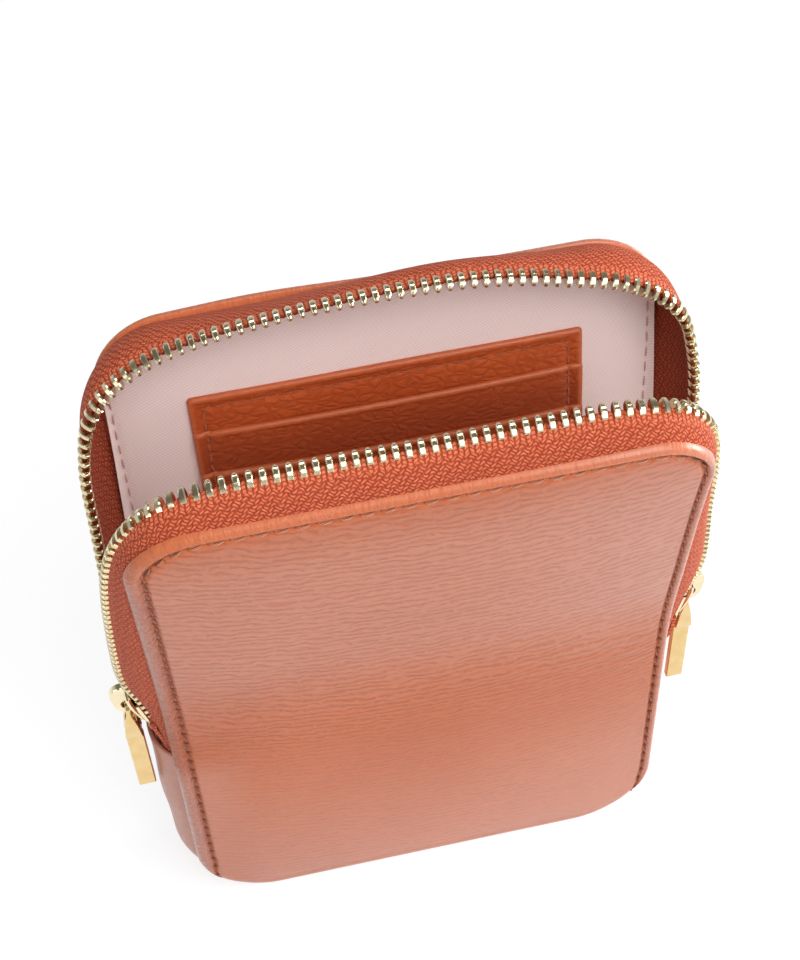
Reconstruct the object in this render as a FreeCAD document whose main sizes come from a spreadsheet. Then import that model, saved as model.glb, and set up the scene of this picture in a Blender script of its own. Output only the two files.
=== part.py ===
import FreeCAD, Part
import Sketcher
import math
import os

# A small leather pouch that stands on its base, zipped round its top and its
# upper sides. Lengths are in millimetres. The origin is the middle of the base
# on the floor, X runs across the panels, -Y is the front and Z is up. The zip
# is open, with both sliders down and both flaps leaning out.

doc = FreeCAD.newDocument("phone_pouch")

SIZES = {
    # Body
    "panel_width": 133.0,
    "panel_height": 200.0,
    "body_depth": 27.0,
    "fold_height": 102.0,
    "top_radius": 18.0,
    "bottom_radius": 23.0,
    "front_lean": 11.9,
    "back_lean": 9.9,
    # Layers of a panel, from the outside in
    "leather_thick": 1.4,
    "board_thick": 0.8,
    "lining_thick": 0.5,
    "board_inset": 3.6,
    "lining_inset": 3.2,
    "layer_gap": 0.15,
    "leather_fold_gap": 0.4,
    "inner_fold_gap": 1.0,
    # Gusset
    "gusset_thick": 1.2,
    "gusset_base_top": 25.0,
    "gusset_drop": 26.0,
    "gusset_bulge_height": 45.0,
    "gusset_bulge_low": 0.3,
    "gusset_bulge_mid": 4.8,
    "gusset_bulge_top": 5.5,
    # Zip
    "tape_thick": 0.9,
    "tape_inset": 1.2,
    "zip_start_rise": 4.0,
    "zip_flare_height": 24.0,
    "zip_corner": 34.0,
    "front_row_out": 8.0,
    "front_row_in": 9.1,
    "back_row_out": 5.6,
    "back_row_in": 16.8,
    "tooth_pitch": 2.75,
    "tooth_wide": 1.5,
    "tooth_long": 3.8,
    "tooth_thick": 2.6,
    "tooth_seat": 0.8,
    # Closed end of the zip, below each slider
    "zip_end_low_drop": 42.0,
    "zip_end_high_drop": 13.0,
    "zip_end_clear": 0.5,
    "chain_wide": 6.0,
    # Sliders
    "slider_out": 71.0,
    "slider_forward": 3.9,
    "slider_drop": 5.0,
    "slider_tilt": 8.0,
    "slider_long": 12.0,
    "slider_wide": 9.0,
    "slider_plate": 1.2,
    "slider_gap": 3.4,
    "slider_flange": 0.8,
    "slider_flange_deep": 1.0,
    "slider_flange_long": 7.0,
    "slider_post": 2.6,
    "slider_post_long": 3.6,
    "slider_round": 1.8,
    "bail_wide": 1.6,
    "bail_long": 8.4,
    "bail_high": 3.6,
    "bail_wall": 1.2,
    "bail_round": 1.8,
    # Pulls
    "pull_pin": 0.8,
    "pull_pin_height": 1.2,
    "pull_leg_gap": 0.4,
    "pull_leg": 1.0,
    "pull_leg_long": 6.0,
    "pull_head_long": 9.0,
    "pull_head_top": 2.8,
    "pull_head_base": 4.0,
    "pull_bar_wide": 4.7,
    "pull_bar_thick": 2.0,
    "pull_bar_long": 25.0,
    # Card pockets
    "card_width": 94.0,
    "card_drop": 23.0,
    "card_foot_rise": 5.0,
    "card_corner": 2.5,
    "card_leather": 0.9,
    "slot_drop": 10.5,
    "slot_pitch": 13.5,
    # Seams
    "stitch_inset": 3.4,
    "stitch_pitch": 5.5,
    "stitch_long": 3.6,
    "stitch_wide": 0.7,
    "stitch_high": 0.4,
    "card_stitch_inset": 3.4,
    "card_stitch_pitch": 3.2,
    "card_stitch_long": 2.2,
    "hem_inset": 5.0,
}

sheet = doc.addObject("Spreadsheet::Sheet", "sizes")
for row, (alias, value) in enumerate(SIZES.items(), 1):
    sheet.set("A%d" % row, alias)
    sheet.set("B%d" % row, str(value))
    sheet.setAlias("B%d" % row, alias)
doc.recompute()

NODES = []


def size(alias):
    return float(sheet.get(alias))


def bound(words):
    """An expression on the sheet: every size named in words gets the sheet's name."""
    return " ".join("sizes." + w if w in SIZES else w for w in words.split())


def above_fold(alias):
    return size("fold_height") + size(alias)


def below_fold(alias):
    return size("fold_height") - size(alias)


def node(item, label):
    item.Label = label
    NODES.append(item)
    return item


# The flaps' fold lines. A flap is drawn upright and then leaned about its fold.

def lean(item, side):
    fold = FreeCAD.Vector(0, side * (size("body_depth") - size("leather_thick")) / 2, size("fold_height"))
    angle = size("front_lean") if side < 0 else -size("back_lean")
    turn = FreeCAD.Rotation(FreeCAD.Vector(1, 0, 0), angle)
    item.Placement = FreeCAD.Placement(FreeCAD.Vector(0, 0, 0), turn, fold)


# Panels: flat pieces with two rounded corners, above or below the fold

def outline(body, name, half, start, span, radius, up, depth):
    """A sketch with a straight edge at height start and rounded corners at its far end."""
    sketch = body.newObject("Sketcher::SketchObject", name)
    plane = [f for f in body.Origin.OriginFeatures if f.Role == "XZ_Plane"][0]
    sketch.AttachmentSupport = [(plane, "")]
    sketch.MapMode = "FlatFace"
    sign = 1 if up else -1
    at = lambda x, z: FreeCAD.Vector(sign * x, 80 + sign * z, 0)
    line = lambda a, b: Part.LineSegment(at(*a), at(*b))
    quarter = math.pi / 2
    first = 0 if up else math.pi
    arc = lambda c, n: Part.ArcOfCircle(
        Part.Circle(at(*c), FreeCAD.Vector(0, 0, 1), 5), first + n * quarter, first + (n + 1) * quarter)
    sketch.addGeometry([
        line((-30, 0), (30, 0)),
        line((30, 0), (30, 45)),
        arc((25, 45), 0),
        line((25, 50), (-25, 50)),
        arc((-25, 45), 1),
        line((-30, 45), (-30, 0)),
    ], False)
    rule = Sketcher.Constraint
    near, far = ((0, 1), (0, 2)) if up else ((0, 2), (0, 1))
    low, high = ((0, 1), (3, 1)) if up else ((3, 1), (0, 1))
    sketch.addConstraint([
        rule("Coincident", 0, 2, 1, 1),
        rule("Tangent", 1, 2, 2, 1),
        rule("Tangent", 2, 2, 3, 1),
        rule("Tangent", 3, 2, 4, 1),
        rule("Tangent", 4, 2, 5, 1),
        rule("Coincident", 5, 2, 0, 1),
        rule("Vertical", 1),
        rule("Horizontal", 3),
        rule("Vertical", 5),
        rule("Equal", 2, 4),
        rule("Symmetric", 0, 1, 0, 2, -2),
    ])
    for title, constraint, words in (
        ("width", rule("DistanceX", *near, *far, 60.0), "2 * ( %s )" % half),
        ("radius", rule("Radius", 2, 5.0), radius),
        ("start", rule("DistanceY", -1, 1, 0, 1, 80.0), start),
        ("span", rule("DistanceY", *low, *high, 50.0), span),
    ):
        index = sketch.addConstraint(constraint)
        sketch.renameConstraint(index, title)
        sketch.setExpression("Constraints." + title, bound(words))
    sketch.setExpression("AttachmentOffset.Base.z", bound(depth))
    return sketch


def plate(label, side, half, start, span, radius, up, depth, thick):
    """A flat piece on one side of the body: depth is how far its inner face is from the middle."""
    body = doc.addObject("PartDesign::Body", label + "_body")
    sketch = outline(body, label + "_outline", half, start, span, radius, up, "%d * ( %s )" % (-side, depth))
    pad = body.newObject("PartDesign::Pad", label + "_pad")
    pad.Profile = sketch
    pad.Reversed = side > 0
    pad.setExpression("Length", bound(thick))
    return node(body, label)


LAYERS = (
    ("leather", "0", "0"),
    ("board", "board_inset", "leather_thick"),
    ("lining", "lining_inset", "leather_thick + board_thick"),
)
SIDES = (("front", -1), ("back", 1))

for name, side in SIDES:
    for layer, inset, outer in LAYERS:
        gap = "leather_fold_gap" if layer == "leather" else "inner_fold_gap"
        half = "panel_width / 2 - " + inset
        depth = "body_depth / 2 - ( %s ) - %s_thick" % (outer, layer)
        thick = layer + "_thick"
        upper = plate("%s_%s_upper" % (name, layer), side, half, "fold_height + " + gap,
                      "panel_height - fold_height - %s - %s" % (gap, inset),
                      "top_radius - " + inset, True, depth, thick)
        lean(upper, side)
        plate("%s_%s_lower" % (name, layer), side, half, "fold_height - " + gap,
              "fold_height - %s - %s" % (gap, inset),
              "bottom_radius - " + inset, False, depth, thick)


# The gusset: one strip round the base and up both sides, lined inside. Its flat
# run across the base, with both bottom corners, is cut out of a solid block.

def gusset_base(label, inset, thick):
    body = doc.addObject("PartDesign::Body", label + "_body")
    wide = "body_depth - 2 * leather_thick"
    half = "panel_width / 2 - ( %s )" % inset
    block = outline(body, label + "_outline", half, "gusset_base_top",
                    "gusset_base_top - ( %s )" % inset, "bottom_radius - ( %s )" % inset, False, "0")
    pad = body.newObject("PartDesign::Pad", label + "_pad")
    pad.Profile = block
    pad.SideType = "Symmetric"
    pad.setExpression("Length", bound(wide))
    inner = "%s + %s" % (inset, thick)
    hollow = outline(body, label + "_hollow", "panel_width / 2 - ( %s )" % inner, "2 * gusset_base_top",
                     "2 * gusset_base_top - ( %s )" % inner, "bottom_radius - ( %s )" % inner, False, "0")
    pocket = body.newObject("PartDesign::Pocket", label + "_pocket")
    pocket.Profile = hollow
    pocket.SideType = "Symmetric"
    pocket.setExpression("Length", bound("2 * ( %s )" % wide))
    return node(body, label)


def swell(height):
    """How far the middle of a side stands out from its edges at a height."""
    knots = (
        (size("gusset_base_top"), size("gusset_bulge_low")),
        (size("gusset_bulge_height"), size("gusset_bulge_mid")),
        (below_fold("gusset_drop"), size("gusset_bulge_top")),
    )
    for (low, first), (high, second) in zip(knots, knots[1:]):
        if height <= high:
            return first + (second - first) * (height - low) / (high - low)
    return knots[-1][1]


def wall(side, inset, thick, low, top):
    """A strip up one side, from panel to panel, which swells outward between them."""
    half_depth = size("body_depth") / 2 - size("leather_thick")
    far = size("panel_width") / 2 - inset
    near = far - thick
    sections = []
    for height in sorted({low, max(low, size("gusset_bulge_height")), top}):
        bulge = swell(height)
        spot = lambda x, y: FreeCAD.Vector(side * x, y, height)
        sections.append(Part.Wire([
            Part.Arc(spot(far, -half_depth), spot(far + bulge, 0), spot(far, half_depth)).toShape(),
            Part.LineSegment(spot(far, half_depth), spot(near, half_depth)).toShape(),
            Part.Arc(spot(near, half_depth), spot(near + bulge, 0), spot(near, -half_depth)).toShape(),
            Part.LineSegment(spot(near, -half_depth), spot(far, -half_depth)).toShape(),
        ]))
    return Part.makeLoft(sections, True, True)


def gusset_rise(label, side, inset, thick, top):
    item = doc.addObject("Part::Feature", label)
    item.Shape = wall(side, inset, thick, size("gusset_base_top"), top)
    return node(item, label)


gusset_base("gusset_base", "0", "gusset_thick")
gusset_base("gusset_lining_base", "gusset_thick", "lining_thick")
for name, side in (("left", -1), ("right", 1)):
    gusset_rise("gusset_" + name, side, 0, size("gusset_thick"), below_fold("gusset_drop"))
    gusset_rise("gusset_lining_" + name, side, size("gusset_thick") + size("layer_gap"), size("lining_thick"),
                below_fold("gusset_drop") - size("lining_inset"))


# Paths round a panel, as straight runs and corner arcs in the plane of the panel

class Path:
    """A run up the left side, across the far end and down the right side."""

    def __init__(self, half, start, end, radius, foot=None, foot_height=0.0):
        turn = 1 if end > start else -1
        foot = half if foot is None else foot
        bend = start + turn * foot_height
        corner = end - turn * radius
        left = [(-foot, start), (-half, bend), (-half, corner)] if foot_height else [(-half, start), (-half, corner)]
        self.parts = [("line", a, b) for a, b in zip(left, left[1:])]
        self.parts.append(("arc", (-half + radius, corner), radius, math.pi, math.pi - turn * math.pi / 2))
        self.parts.append(("line", (-half + radius, end), (half - radius, end)))
        self.parts.append(("arc", (half - radius, corner), radius, turn * math.pi / 2, 0.0))
        right = [(-x, z) for x, z in reversed(left)]
        self.parts += [("line", a, b) for a, b in zip(right, right[1:])]

    def span(self, part):
        if part[0] == "line":
            return math.dist(part[1], part[2])
        return part[2] * abs(part[4] - part[3])

    def length(self):
        return sum(self.span(part) for part in self.parts)

    def locate(self, distance):
        for index, part in enumerate(self.parts):
            if distance <= self.span(part) or index == len(self.parts) - 1:
                return index, distance / self.span(part)
            distance -= self.span(part)

    def point(self, index, share):
        kind, first, second, *angles = self.parts[index]
        if kind == "line":
            return tuple(a + share * (b - a) for a, b in zip(first, second))
        angle = angles[0] + share * (angles[1] - angles[0])
        return first[0] + second * math.cos(angle), first[1] + second * math.sin(angle)

    def edges(self, y):
        made = []
        for index, part in enumerate(self.parts):
            spots = [FreeCAD.Vector(p[0], y, p[1]) for p in (self.point(index, s) for s in (0, 0.5, 1))]
            if part[0] == "line":
                made.append(Part.LineSegment(spots[0], spots[2]).toShape())
            else:
                made.append(Part.Arc(*spots).toShape())
        return made


def band(outer, inner, y):
    """A closed loop in a plane of constant depth: along one path and back along the other."""
    there = outer.edges(y)
    back = inner.edges(y)
    ends = [(outer, inner, 0, 0), (outer, inner, -1, 1)]
    caps = []
    for first, second, part, share in ends:
        index = part % len(first.parts)
        spots = [FreeCAD.Vector(p[0], y, p[1]) for p in (first.point(index, share), second.point(index, share))]
        caps.append(Part.LineSegment(*spots).toShape())
    return Part.Wire(Part.__sortEdges__(there + back + caps))


def block(along, across, long, wide, low, high, place):
    """A small box at a place, its length along one direction and its width along another."""
    up = along.cross(across)
    turn = FreeCAD.Rotation(along, across, up, "ZXY")
    box = Part.makeBox(long, wide, high - low, FreeCAD.Vector(-long / 2, -wide / 2, low))
    box.Placement = FreeCAD.Placement(place, turn)
    return box


# Zip: a woven tape sewn inside each panel's edge, with metal teeth on its free edge

def zip_half(name, side):
    face = size("body_depth") / 2
    half = size("panel_width") / 2
    top = size("panel_height")
    out = size(name + "_row_out")
    deep = size(name + "_row_in")
    reach = math.hypot(out, deep)
    root = 1 - size("tooth_long") / reach
    start = above_fold("zip_start_rise")

    def path(share, inset):
        sewn = size("tape_inset") * (1 - share)
        radius = size("top_radius") + share * (size("zip_corner") - size("top_radius"))
        wide = half + out * share - sewn - inset
        foot = half + (size("slider_out") - half) * share - sewn - inset
        return Path(wide, start, top + out * share - sewn - inset, radius - sewn - inset,
                    foot, size("zip_flare_height"))

    def depth(share):
        return side * (face - size("leather_thick") - (deep - size("leather_thick")) * share)

    seat = root - size("tooth_seat") / reach
    loops = [band(path(share, 0), path(share, size("tape_thick")), depth(share)) for share in (0, seat)]
    tape = doc.addObject("Part::Feature", name + "_zip_tape")
    tape.Shape = Part.makeLoft(loops, True, True)
    lean(node(tape, name + "_zip_tape"), side)

    middle = size("tape_thick") / 2
    inner, outer = path(root, middle), path(1, middle)
    count = int(inner.length() / size("tooth_pitch"))
    spare = (inner.length() - (count - 1) * size("tooth_pitch")) / 2
    teeth = []
    for n in range(count):
        index, share = inner.locate(spare + n * size("tooth_pitch"))
        a, b = inner.point(index, share), outer.point(index, share)
        c = inner.point(index, min(share + 0.01, 1))
        d = inner.point(index, max(share - 0.01, 0))
        foot = FreeCAD.Vector(a[0], depth(root), a[1])
        tip = FreeCAD.Vector(b[0], depth(1), b[1])
        along = (tip - foot).normalize()
        run = FreeCAD.Vector(c[0] - d[0], 0, c[1] - d[1])
        across = (run - along * run.dot(along)).normalize()
        teeth.append(block(along, across, size("tooth_long"), size("tooth_wide"),
                           -size("tooth_thick") / 2, size("tooth_thick") / 2,
                           foot + along * (size("tooth_long") / 2)))
    item = doc.addObject("Part::Feature", name + "_zip_teeth")
    item.Shape = Part.makeCompound(teeth)
    lean(node(item, name + "_zip_teeth"), side)


for name, side in SIDES:
    zip_half(name, side)


# Closed end of the zip on each side: a short run of tape and meshed teeth that
# goes down inside the gusset

def zip_end(label, side):
    inset = size("gusset_thick") + size("lining_thick") + 2 * size("layer_gap")
    low, high = below_fold("zip_end_low_drop"), below_fold("zip_end_high_drop")
    tape = wall(side, inset, size("tape_thick"), low, high)
    above = below_fold("gusset_drop") + size("zip_end_clear")
    corner = FreeCAD.Vector(size("slider_out") - size("tooth_thick") / 2,
                            -size("slider_forward") - size("chain_wide") / 2, above)
    chain = Part.makeBox(size("tooth_thick"), size("chain_wide"), high - above, corner)
    if side < 0:
        chain = chain.mirror(FreeCAD.Vector(0, 0, 0), FreeCAD.Vector(1, 0, 0))
    item = doc.addObject("Part::Feature", label)
    item.Shape = tape.fuse(chain)
    return node(item, label)


# Sliders and pulls: cast pieces, built from boxes in the slider's own frame, with
# X away from the pouch, Y across the zip and Z along it

def box(name, spans):
    """A box between two limits along each axis, each limit an expression on the sheet."""
    item = doc.addObject("Part::Box", name)
    for key, axis, (low, high) in zip(("Length", "Width", "Height"), "xyz", spans):
        item.setExpression(key, bound("( %s ) - ( %s )" % (high, low)))
        item.setExpression("Placement.Base." + axis, bound(low))
    return item


def even(words):
    return "- ( %s ) / 2" % words, "( %s ) / 2" % words


def rounded(name, base, radius, wanted):
    """The base with the edges that wanted picks rounded to a radius of the sheet."""
    doc.recompute()
    picked = [i for i, e in enumerate(base.Shape.Edges, 1) if wanted(e)]
    item = doc.addObject("Part::Fillet", name)
    item.Base = base
    item.Edges = [(i, size(radius), size(radius)) for i in picked]
    return item


def along_axis(edge, axis):
    run = edge.Vertexes[-1].Point - edge.Vertexes[0].Point
    return abs(run.normalize().dot(axis)) > 0.99


def slider(label, side):
    x, y = FreeCAD.Vector(1, 0, 0), FreeCAD.Vector(0, 1, 0)
    face = "slider_gap / 2 + slider_plate"
    across, run = even("slider_wide"), even("slider_long")
    pieces = []
    for tag, limits in (("outer", ("slider_gap / 2", face)), ("inner", ("- ( %s )" % face, "- slider_gap / 2"))):
        slab = box("%s_%s_plate" % (label, tag), (limits, across, run))
        pieces.append(rounded("%s_%s_round" % (label, tag), slab, "slider_round", lambda e: along_axis(e, x)))
    pieces.append(box(label + "_post", (even("slider_gap"), even("slider_post"),
                                        ("slider_long / 2 - slider_post_long", "slider_long / 2 - slider_flange"))))
    edge = ("slider_wide / 2 - slider_flange", "slider_wide / 2")
    reach = ("slider_gap / 2 - slider_flange_deep", "slider_gap / 2")
    low = ("- slider_long / 2 + slider_round", "- slider_long / 2 + slider_round + slider_flange_long")
    flip = lambda pair: tuple("- ( %s )" % words for words in reversed(pair))
    for a, deep in enumerate((reach, flip(reach))):
        for b, wide in enumerate((edge, flip(edge))):
            pieces.append(box("%s_flange_%d%d" % (label, a, b), (deep, wide, low)))
    arch = box(label + "_arch", ((face, face + " + bail_high"), even("bail_wide"), even("bail_long")))
    arch = rounded(label + "_arch_round", arch, "bail_round",
                   lambda e: along_axis(e, y) and e.CenterOfMass.x > size("slider_gap"))
    eye = box(label + "_eye", (("slider_gap / 2", face + " + bail_high - bail_wall"), even("2 * bail_wide"),
                               even("bail_long - 2 * bail_wall")))
    bail = doc.addObject("Part::Cut", label + "_bail")
    bail.Base = arch
    bail.Tool = eye
    pieces.append(bail)
    item = doc.addObject("Part::MultiFuse", label)
    item.Shapes = pieces
    return node(seated(item, side, 0), label)


def seated(item, side, out):
    """Stands a piece of the slider's frame on its side of the pouch, out from the chain's middle."""
    tilt = FreeCAD.Rotation(FreeCAD.Vector(0, 1, 0), size("slider_tilt"))
    turn = FreeCAD.Rotation(FreeCAD.Vector(0, 0, 1), 0 if side > 0 else 180)
    place = FreeCAD.Vector(side * size("slider_out"), -size("slider_forward"), below_fold("slider_drop"))
    offset = tilt.multVec(FreeCAD.Vector(out, 0, 0))
    if out:
        item.Placement = FreeCAD.Placement(place + turn.multVec(offset), turn)
    else:
        item.Placement = FreeCAD.Placement(place, turn.multiply(tilt))
    return item


def pull(label, side):
    reach = "bail_wide + 2 * pull_leg_gap + 2 * pull_leg"
    pin = doc.addObject("Part::Cylinder", label + "_pin")
    pin.setExpression("Radius", bound("pull_pin"))
    pin.setExpression("Height", bound(reach))
    pin.Placement.Rotation = FreeCAD.Rotation(FreeCAD.Vector(1, 0, 0), -90)
    pin.setExpression("Placement.Base.y", bound("- ( %s ) / 2" % reach))
    pieces = [pin]
    leg = ("bail_wide / 2 + pull_leg_gap", "bail_wide / 2 + pull_leg_gap + pull_leg")
    down = ("- pull_leg_long - pull_leg", "0")
    for tag, wide in (("back", leg), ("front", ("- ( %s )" % leg[1], "- ( %s )" % leg[0]))):
        pieces.append(box("%s_leg_%s" % (label, tag), (even("2 * pull_pin"), wide, down)))
    head = doc.addObject("Part::Wedge", label + "_head")
    for key, words in (
        ("Ymin", "0"), ("Ymax", "pull_head_long"),
        ("Xmin", "- pull_head_base / 2"), ("Xmax", "pull_head_base / 2"),
        ("Zmin", "- pull_bar_thick / 2"), ("Zmax", "pull_bar_thick / 2"),
        ("X2min", "- pull_head_top / 2"), ("X2max", "pull_head_top / 2"),
        ("Z2min", "- ( %s ) / 2" % reach), ("Z2max", "( %s ) / 2" % reach),
    ):
        head.setExpression(key, bound(words))
    head.Placement.Rotation = FreeCAD.Rotation(FreeCAD.Vector(1, 0, 0), 90)
    head.setExpression("Placement.Base.z", bound("- pull_leg_long - pull_head_long"))
    pieces.append(head)
    foot = "- pull_leg_long - pull_head_long"
    pieces.append(box(label + "_bar", (even("pull_bar_wide"), even("pull_bar_thick"),
                                       (foot + " - pull_bar_long", foot))))
    item = doc.addObject("Part::MultiFuse", label)
    item.Shapes = pieces
    out = size("slider_gap") / 2 + size("slider_plate") + size("pull_pin_height")
    return node(seated(item, side, out), label)


for name, side in (("left", -1), ("right", 1)):
    zip_end("zip_end_" + name, side)
    slider("slider_" + name, side)
    pull("pull_" + name, side)


# Card pockets: a backing on the back lining, and three pockets stepped down over it

LINING_FACE = "body_depth / 2 - leather_thick - board_thick - lining_thick"
for n, label in enumerate(("card_backing", "card_slot_upper", "card_slot_middle", "card_slot_lower")):
    drop = "0" if n == 0 else "slot_drop + %d * slot_pitch" % (n - 1)
    pocket = plate(label, 1, "card_width / 2", "fold_height + card_foot_rise",
                   "panel_height - card_drop - fold_height - card_foot_rise - ( %s )" % drop,
                   "card_corner", True, "%s - %d * card_leather" % (LINING_FACE, n + 1), "card_leather")
    lean(pocket, 1)


# Seams: each visible stitch is a short bar that lies on the piece it is sewn through

def stitches(label, path, pitch, long, wide, face, side, ends):
    """Bars along a path, on a face at a depth, raised towards side."""
    count = int((path.length() - 2 * ends) / pitch)
    spare = (path.length() - (count - 1) * pitch) / 2
    bars = []
    for n in range(count):
        index, share = path.locate(spare + n * pitch)
        a = path.point(index, max(share - 0.01, 0))
        b = path.point(index, min(share + 0.01, 1))
        c = path.point(index, share)
        along = FreeCAD.Vector(b[0] - a[0], 0, b[1] - a[1]).normalize()
        across = FreeCAD.Vector(0, side, 0).cross(along)
        bars.append(block(along, across, long, wide, 0, size("stitch_high"), FreeCAD.Vector(c[0], face, c[1])))
    item = doc.addObject("Part::Feature", label)
    item.Shape = Part.makeCompound(bars)
    return node(item, label)


seam = size("stitch_inset")
for name, side in SIDES:
    face = side * size("body_depth") / 2
    half = size("panel_width") / 2 - seam
    upper = Path(half, size("fold_height") + size("leather_fold_gap"), size("panel_height") - seam,
                 size("top_radius") - seam)
    lower = Path(half, size("fold_height") - size("leather_fold_gap"), seam, size("bottom_radius") - seam)
    for part, path in (("upper", upper), ("lower", lower)):
        item = stitches("%s_stitches_%s" % (name, part), path, size("stitch_pitch"), size("stitch_long"),
                        size("stitch_wide"), face, side, size("stitch_long") / 2)
        if part == "upper":
            lean(item, side)

lining_face = size("body_depth") / 2 - size("leather_thick") - size("board_thick") - size("lining_thick")
card_seam = size("card_stitch_inset")
card_top = size("panel_height") - size("card_drop")
card_path = Path(size("card_width") / 2 - card_seam, card_top - size("slot_drop"), card_top - card_seam,
                 size("card_corner"))
lean(stitches("card_stitches", card_path, size("card_stitch_pitch"), size("card_stitch_long"), size("stitch_wide"),
              lining_face - size("card_leather"), -1, size("card_stitch_long") / 2), 1)
hem_path = Path(size("panel_width") / 2 - size("hem_inset"), size("fold_height") + size("inner_fold_gap"),
                size("panel_height") - size("hem_inset"), size("top_radius"))
lean(stitches("back_hem_stitches", hem_path, size("stitch_pitch"), size("stitch_long"), size("stitch_wide"),
              lining_face, -1, size("stitch_long") / 2), 1)

doc.recompute()

faults = [o.Name for o in doc.Objects if "Invalid" in o.State or "Error" in o.State]
faults += [n.Label for n in NODES if n.Shape.isNull() or not n.Shape.isValid() or not n.Shape.Solids]
if faults:
    raise RuntimeError("not built: " + ", ".join(faults))

os.makedirs("parts", exist_ok=True)
for item in NODES:
    item.Shape.exportStep("parts/%s.step" % item.Label)
print(len(NODES), "nodes")
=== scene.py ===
from math import cos, pi, radians, sin

import bmesh
import bpy
import numpy as np
from mathutils import Matrix, Vector, kdtree


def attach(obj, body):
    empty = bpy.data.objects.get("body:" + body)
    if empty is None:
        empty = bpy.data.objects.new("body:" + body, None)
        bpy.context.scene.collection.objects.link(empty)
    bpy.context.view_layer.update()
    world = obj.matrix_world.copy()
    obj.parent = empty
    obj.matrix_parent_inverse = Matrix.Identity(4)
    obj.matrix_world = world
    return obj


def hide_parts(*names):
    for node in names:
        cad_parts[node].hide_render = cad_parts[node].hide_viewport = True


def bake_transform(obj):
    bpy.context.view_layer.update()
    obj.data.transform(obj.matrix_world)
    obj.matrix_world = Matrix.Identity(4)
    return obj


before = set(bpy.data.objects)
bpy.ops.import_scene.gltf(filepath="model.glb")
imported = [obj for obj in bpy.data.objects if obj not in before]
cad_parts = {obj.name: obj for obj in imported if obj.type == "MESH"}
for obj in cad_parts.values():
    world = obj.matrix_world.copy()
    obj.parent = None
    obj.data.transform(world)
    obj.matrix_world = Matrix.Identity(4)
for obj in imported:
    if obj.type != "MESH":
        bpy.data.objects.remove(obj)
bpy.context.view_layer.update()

scene = bpy.context.scene
scene.view_settings.view_transform = "Standard"

# View
# The pouch is seen from above and a little to its left, through a long lens
# that is held a few degrees off level.
camera_data = bpy.data.cameras.new("camera")
camera_data.sensor_fit = "AUTO"
camera_data.sensor_width = 36.0
camera_data.lens = 71.77
camera = bpy.data.objects.new("camera", camera_data)
scene.collection.objects.link(camera)
view_right = Vector((0.97668, -0.21228, -0.03214)).normalized()
view_up = Vector((0.18678, 0.76630, 0.61474)).normalized()
view_turn = Matrix((view_right, view_up, view_right.cross(view_up))).transposed()
camera.matrix_world = Matrix.Translation((-0.04794, -0.27204, 0.51422)) @ view_turn.to_4x4()
scene.camera = camera


# Floor and light
# A wide white sweep, dimmer further off. A soft lamp stands at the front right,
# with one above that no mirror shows, weak ones at the sides and a thin strip
# behind for glints. The dim room is brighter near the horizon where it is mirrored.
class Value:
    """A socket of a node tree. Arithmetic on it adds Math nodes, node() adds any other."""

    def __init__(self, tree, socket=None):
        self.tree, self.socket = tree, socket

    def node(self, kind, settings=None, inputs=None, out=0):
        made = self.tree.nodes.new(kind)
        for key, value in (settings or {}).items():
            setattr(made, key, value)
        for key, value in (inputs or {}).items():
            if isinstance(value, Value):
                self.tree.links.new(value.socket, made.inputs[key])
            else:
                made.inputs[key].default_value = value
        return Value(self.tree, made.outputs[out] if len(made.outputs) else None)

    def math(self, operation, other=0.0, first=None):
        inputs = {0: self if first is None else first, 1: other}
        return self.node("ShaderNodeMath", {"operation": operation}, inputs)

    __add__ = __radd__ = lambda self, other: self.math("ADD", other)
    __mul__ = __rmul__ = lambda self, other: self.math("MULTIPLY", other)
    __sub__ = lambda self, other: self.math("SUBTRACT", other)
    __rsub__ = lambda self, other: self.math("SUBTRACT", self, other)
    __truediv__ = lambda self, other: self.math("DIVIDE", other)

    def step(self, low, high):
        """0 below low and 1 above high, or the other way round where low is the larger."""
        flip = low > high
        settings = {"interpolation_type": "SMOOTHSTEP"}
        limits = {"From Min": min(low, high), "From Max": max(low, high)}
        made = self.node("ShaderNodeMapRange", settings, {"Value": self, **limits})
        return 1 - made if flip else made

    def blend(self, *colours):
        """A colour between two colours, by this value."""
        first, second = (c if isinstance(c, Value) else (*c, 1) for c in colours)
        names = {"Factor": self, 6: first, 7: second}
        return self.node("ShaderNodeMix", {"data_type": "RGBA"}, names, 2)

    def place(self):
        return self.node("ShaderNodeTexCoord", out="Object")

    def axis(self, number):
        return self.node("ShaderNodeSeparateXYZ", None, {0: self}, number)

    def read(self, name):
        return self.node("ShaderNodeAttribute", {"attribute_name": name}, out="Fac")

    def noise(self, scale, detail=2.0):
        inputs = {"Vector": self, "Scale": scale, "Detail": detail}
        return self.node("ShaderNodeTexNoise", None, inputs)

    def bump(self, strength, distance):
        inputs = {"Strength": strength, "Distance": distance, "Height": self}
        return self.node("ShaderNodeBump", None, inputs)

    def vector(self, *parts):
        return self.node("ShaderNodeCombineXYZ", None, dict(enumerate(parts)))

    def swing(self):
        """A sine between 0 and 1."""
        return self.math("SINE") * 0.5 + 0.5

    def beat(self, low, high):
        """A step by the distance from the middle between two whole numbers."""
        return (self.math("FRACT") - 0.5).math("ABSOLUTE").step(low, high)


def finish_of(name, **sockets):
    """A new material, a handle on its nodes, and a function that links values to its shader."""
    made = bpy.data.materials.new(name)
    made.use_nodes = True
    shader = made.node_tree.nodes["Principled BSDF"]
    for key, value in sockets.items():
        shader.inputs[key.replace("_", " ")].default_value = value

    def link(**wires):
        for key, value in wires.items():
            made.node_tree.links.new(value.socket, shader.inputs[key.replace("_", " ")])

    return made, Value(made.node_tree), link


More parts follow.
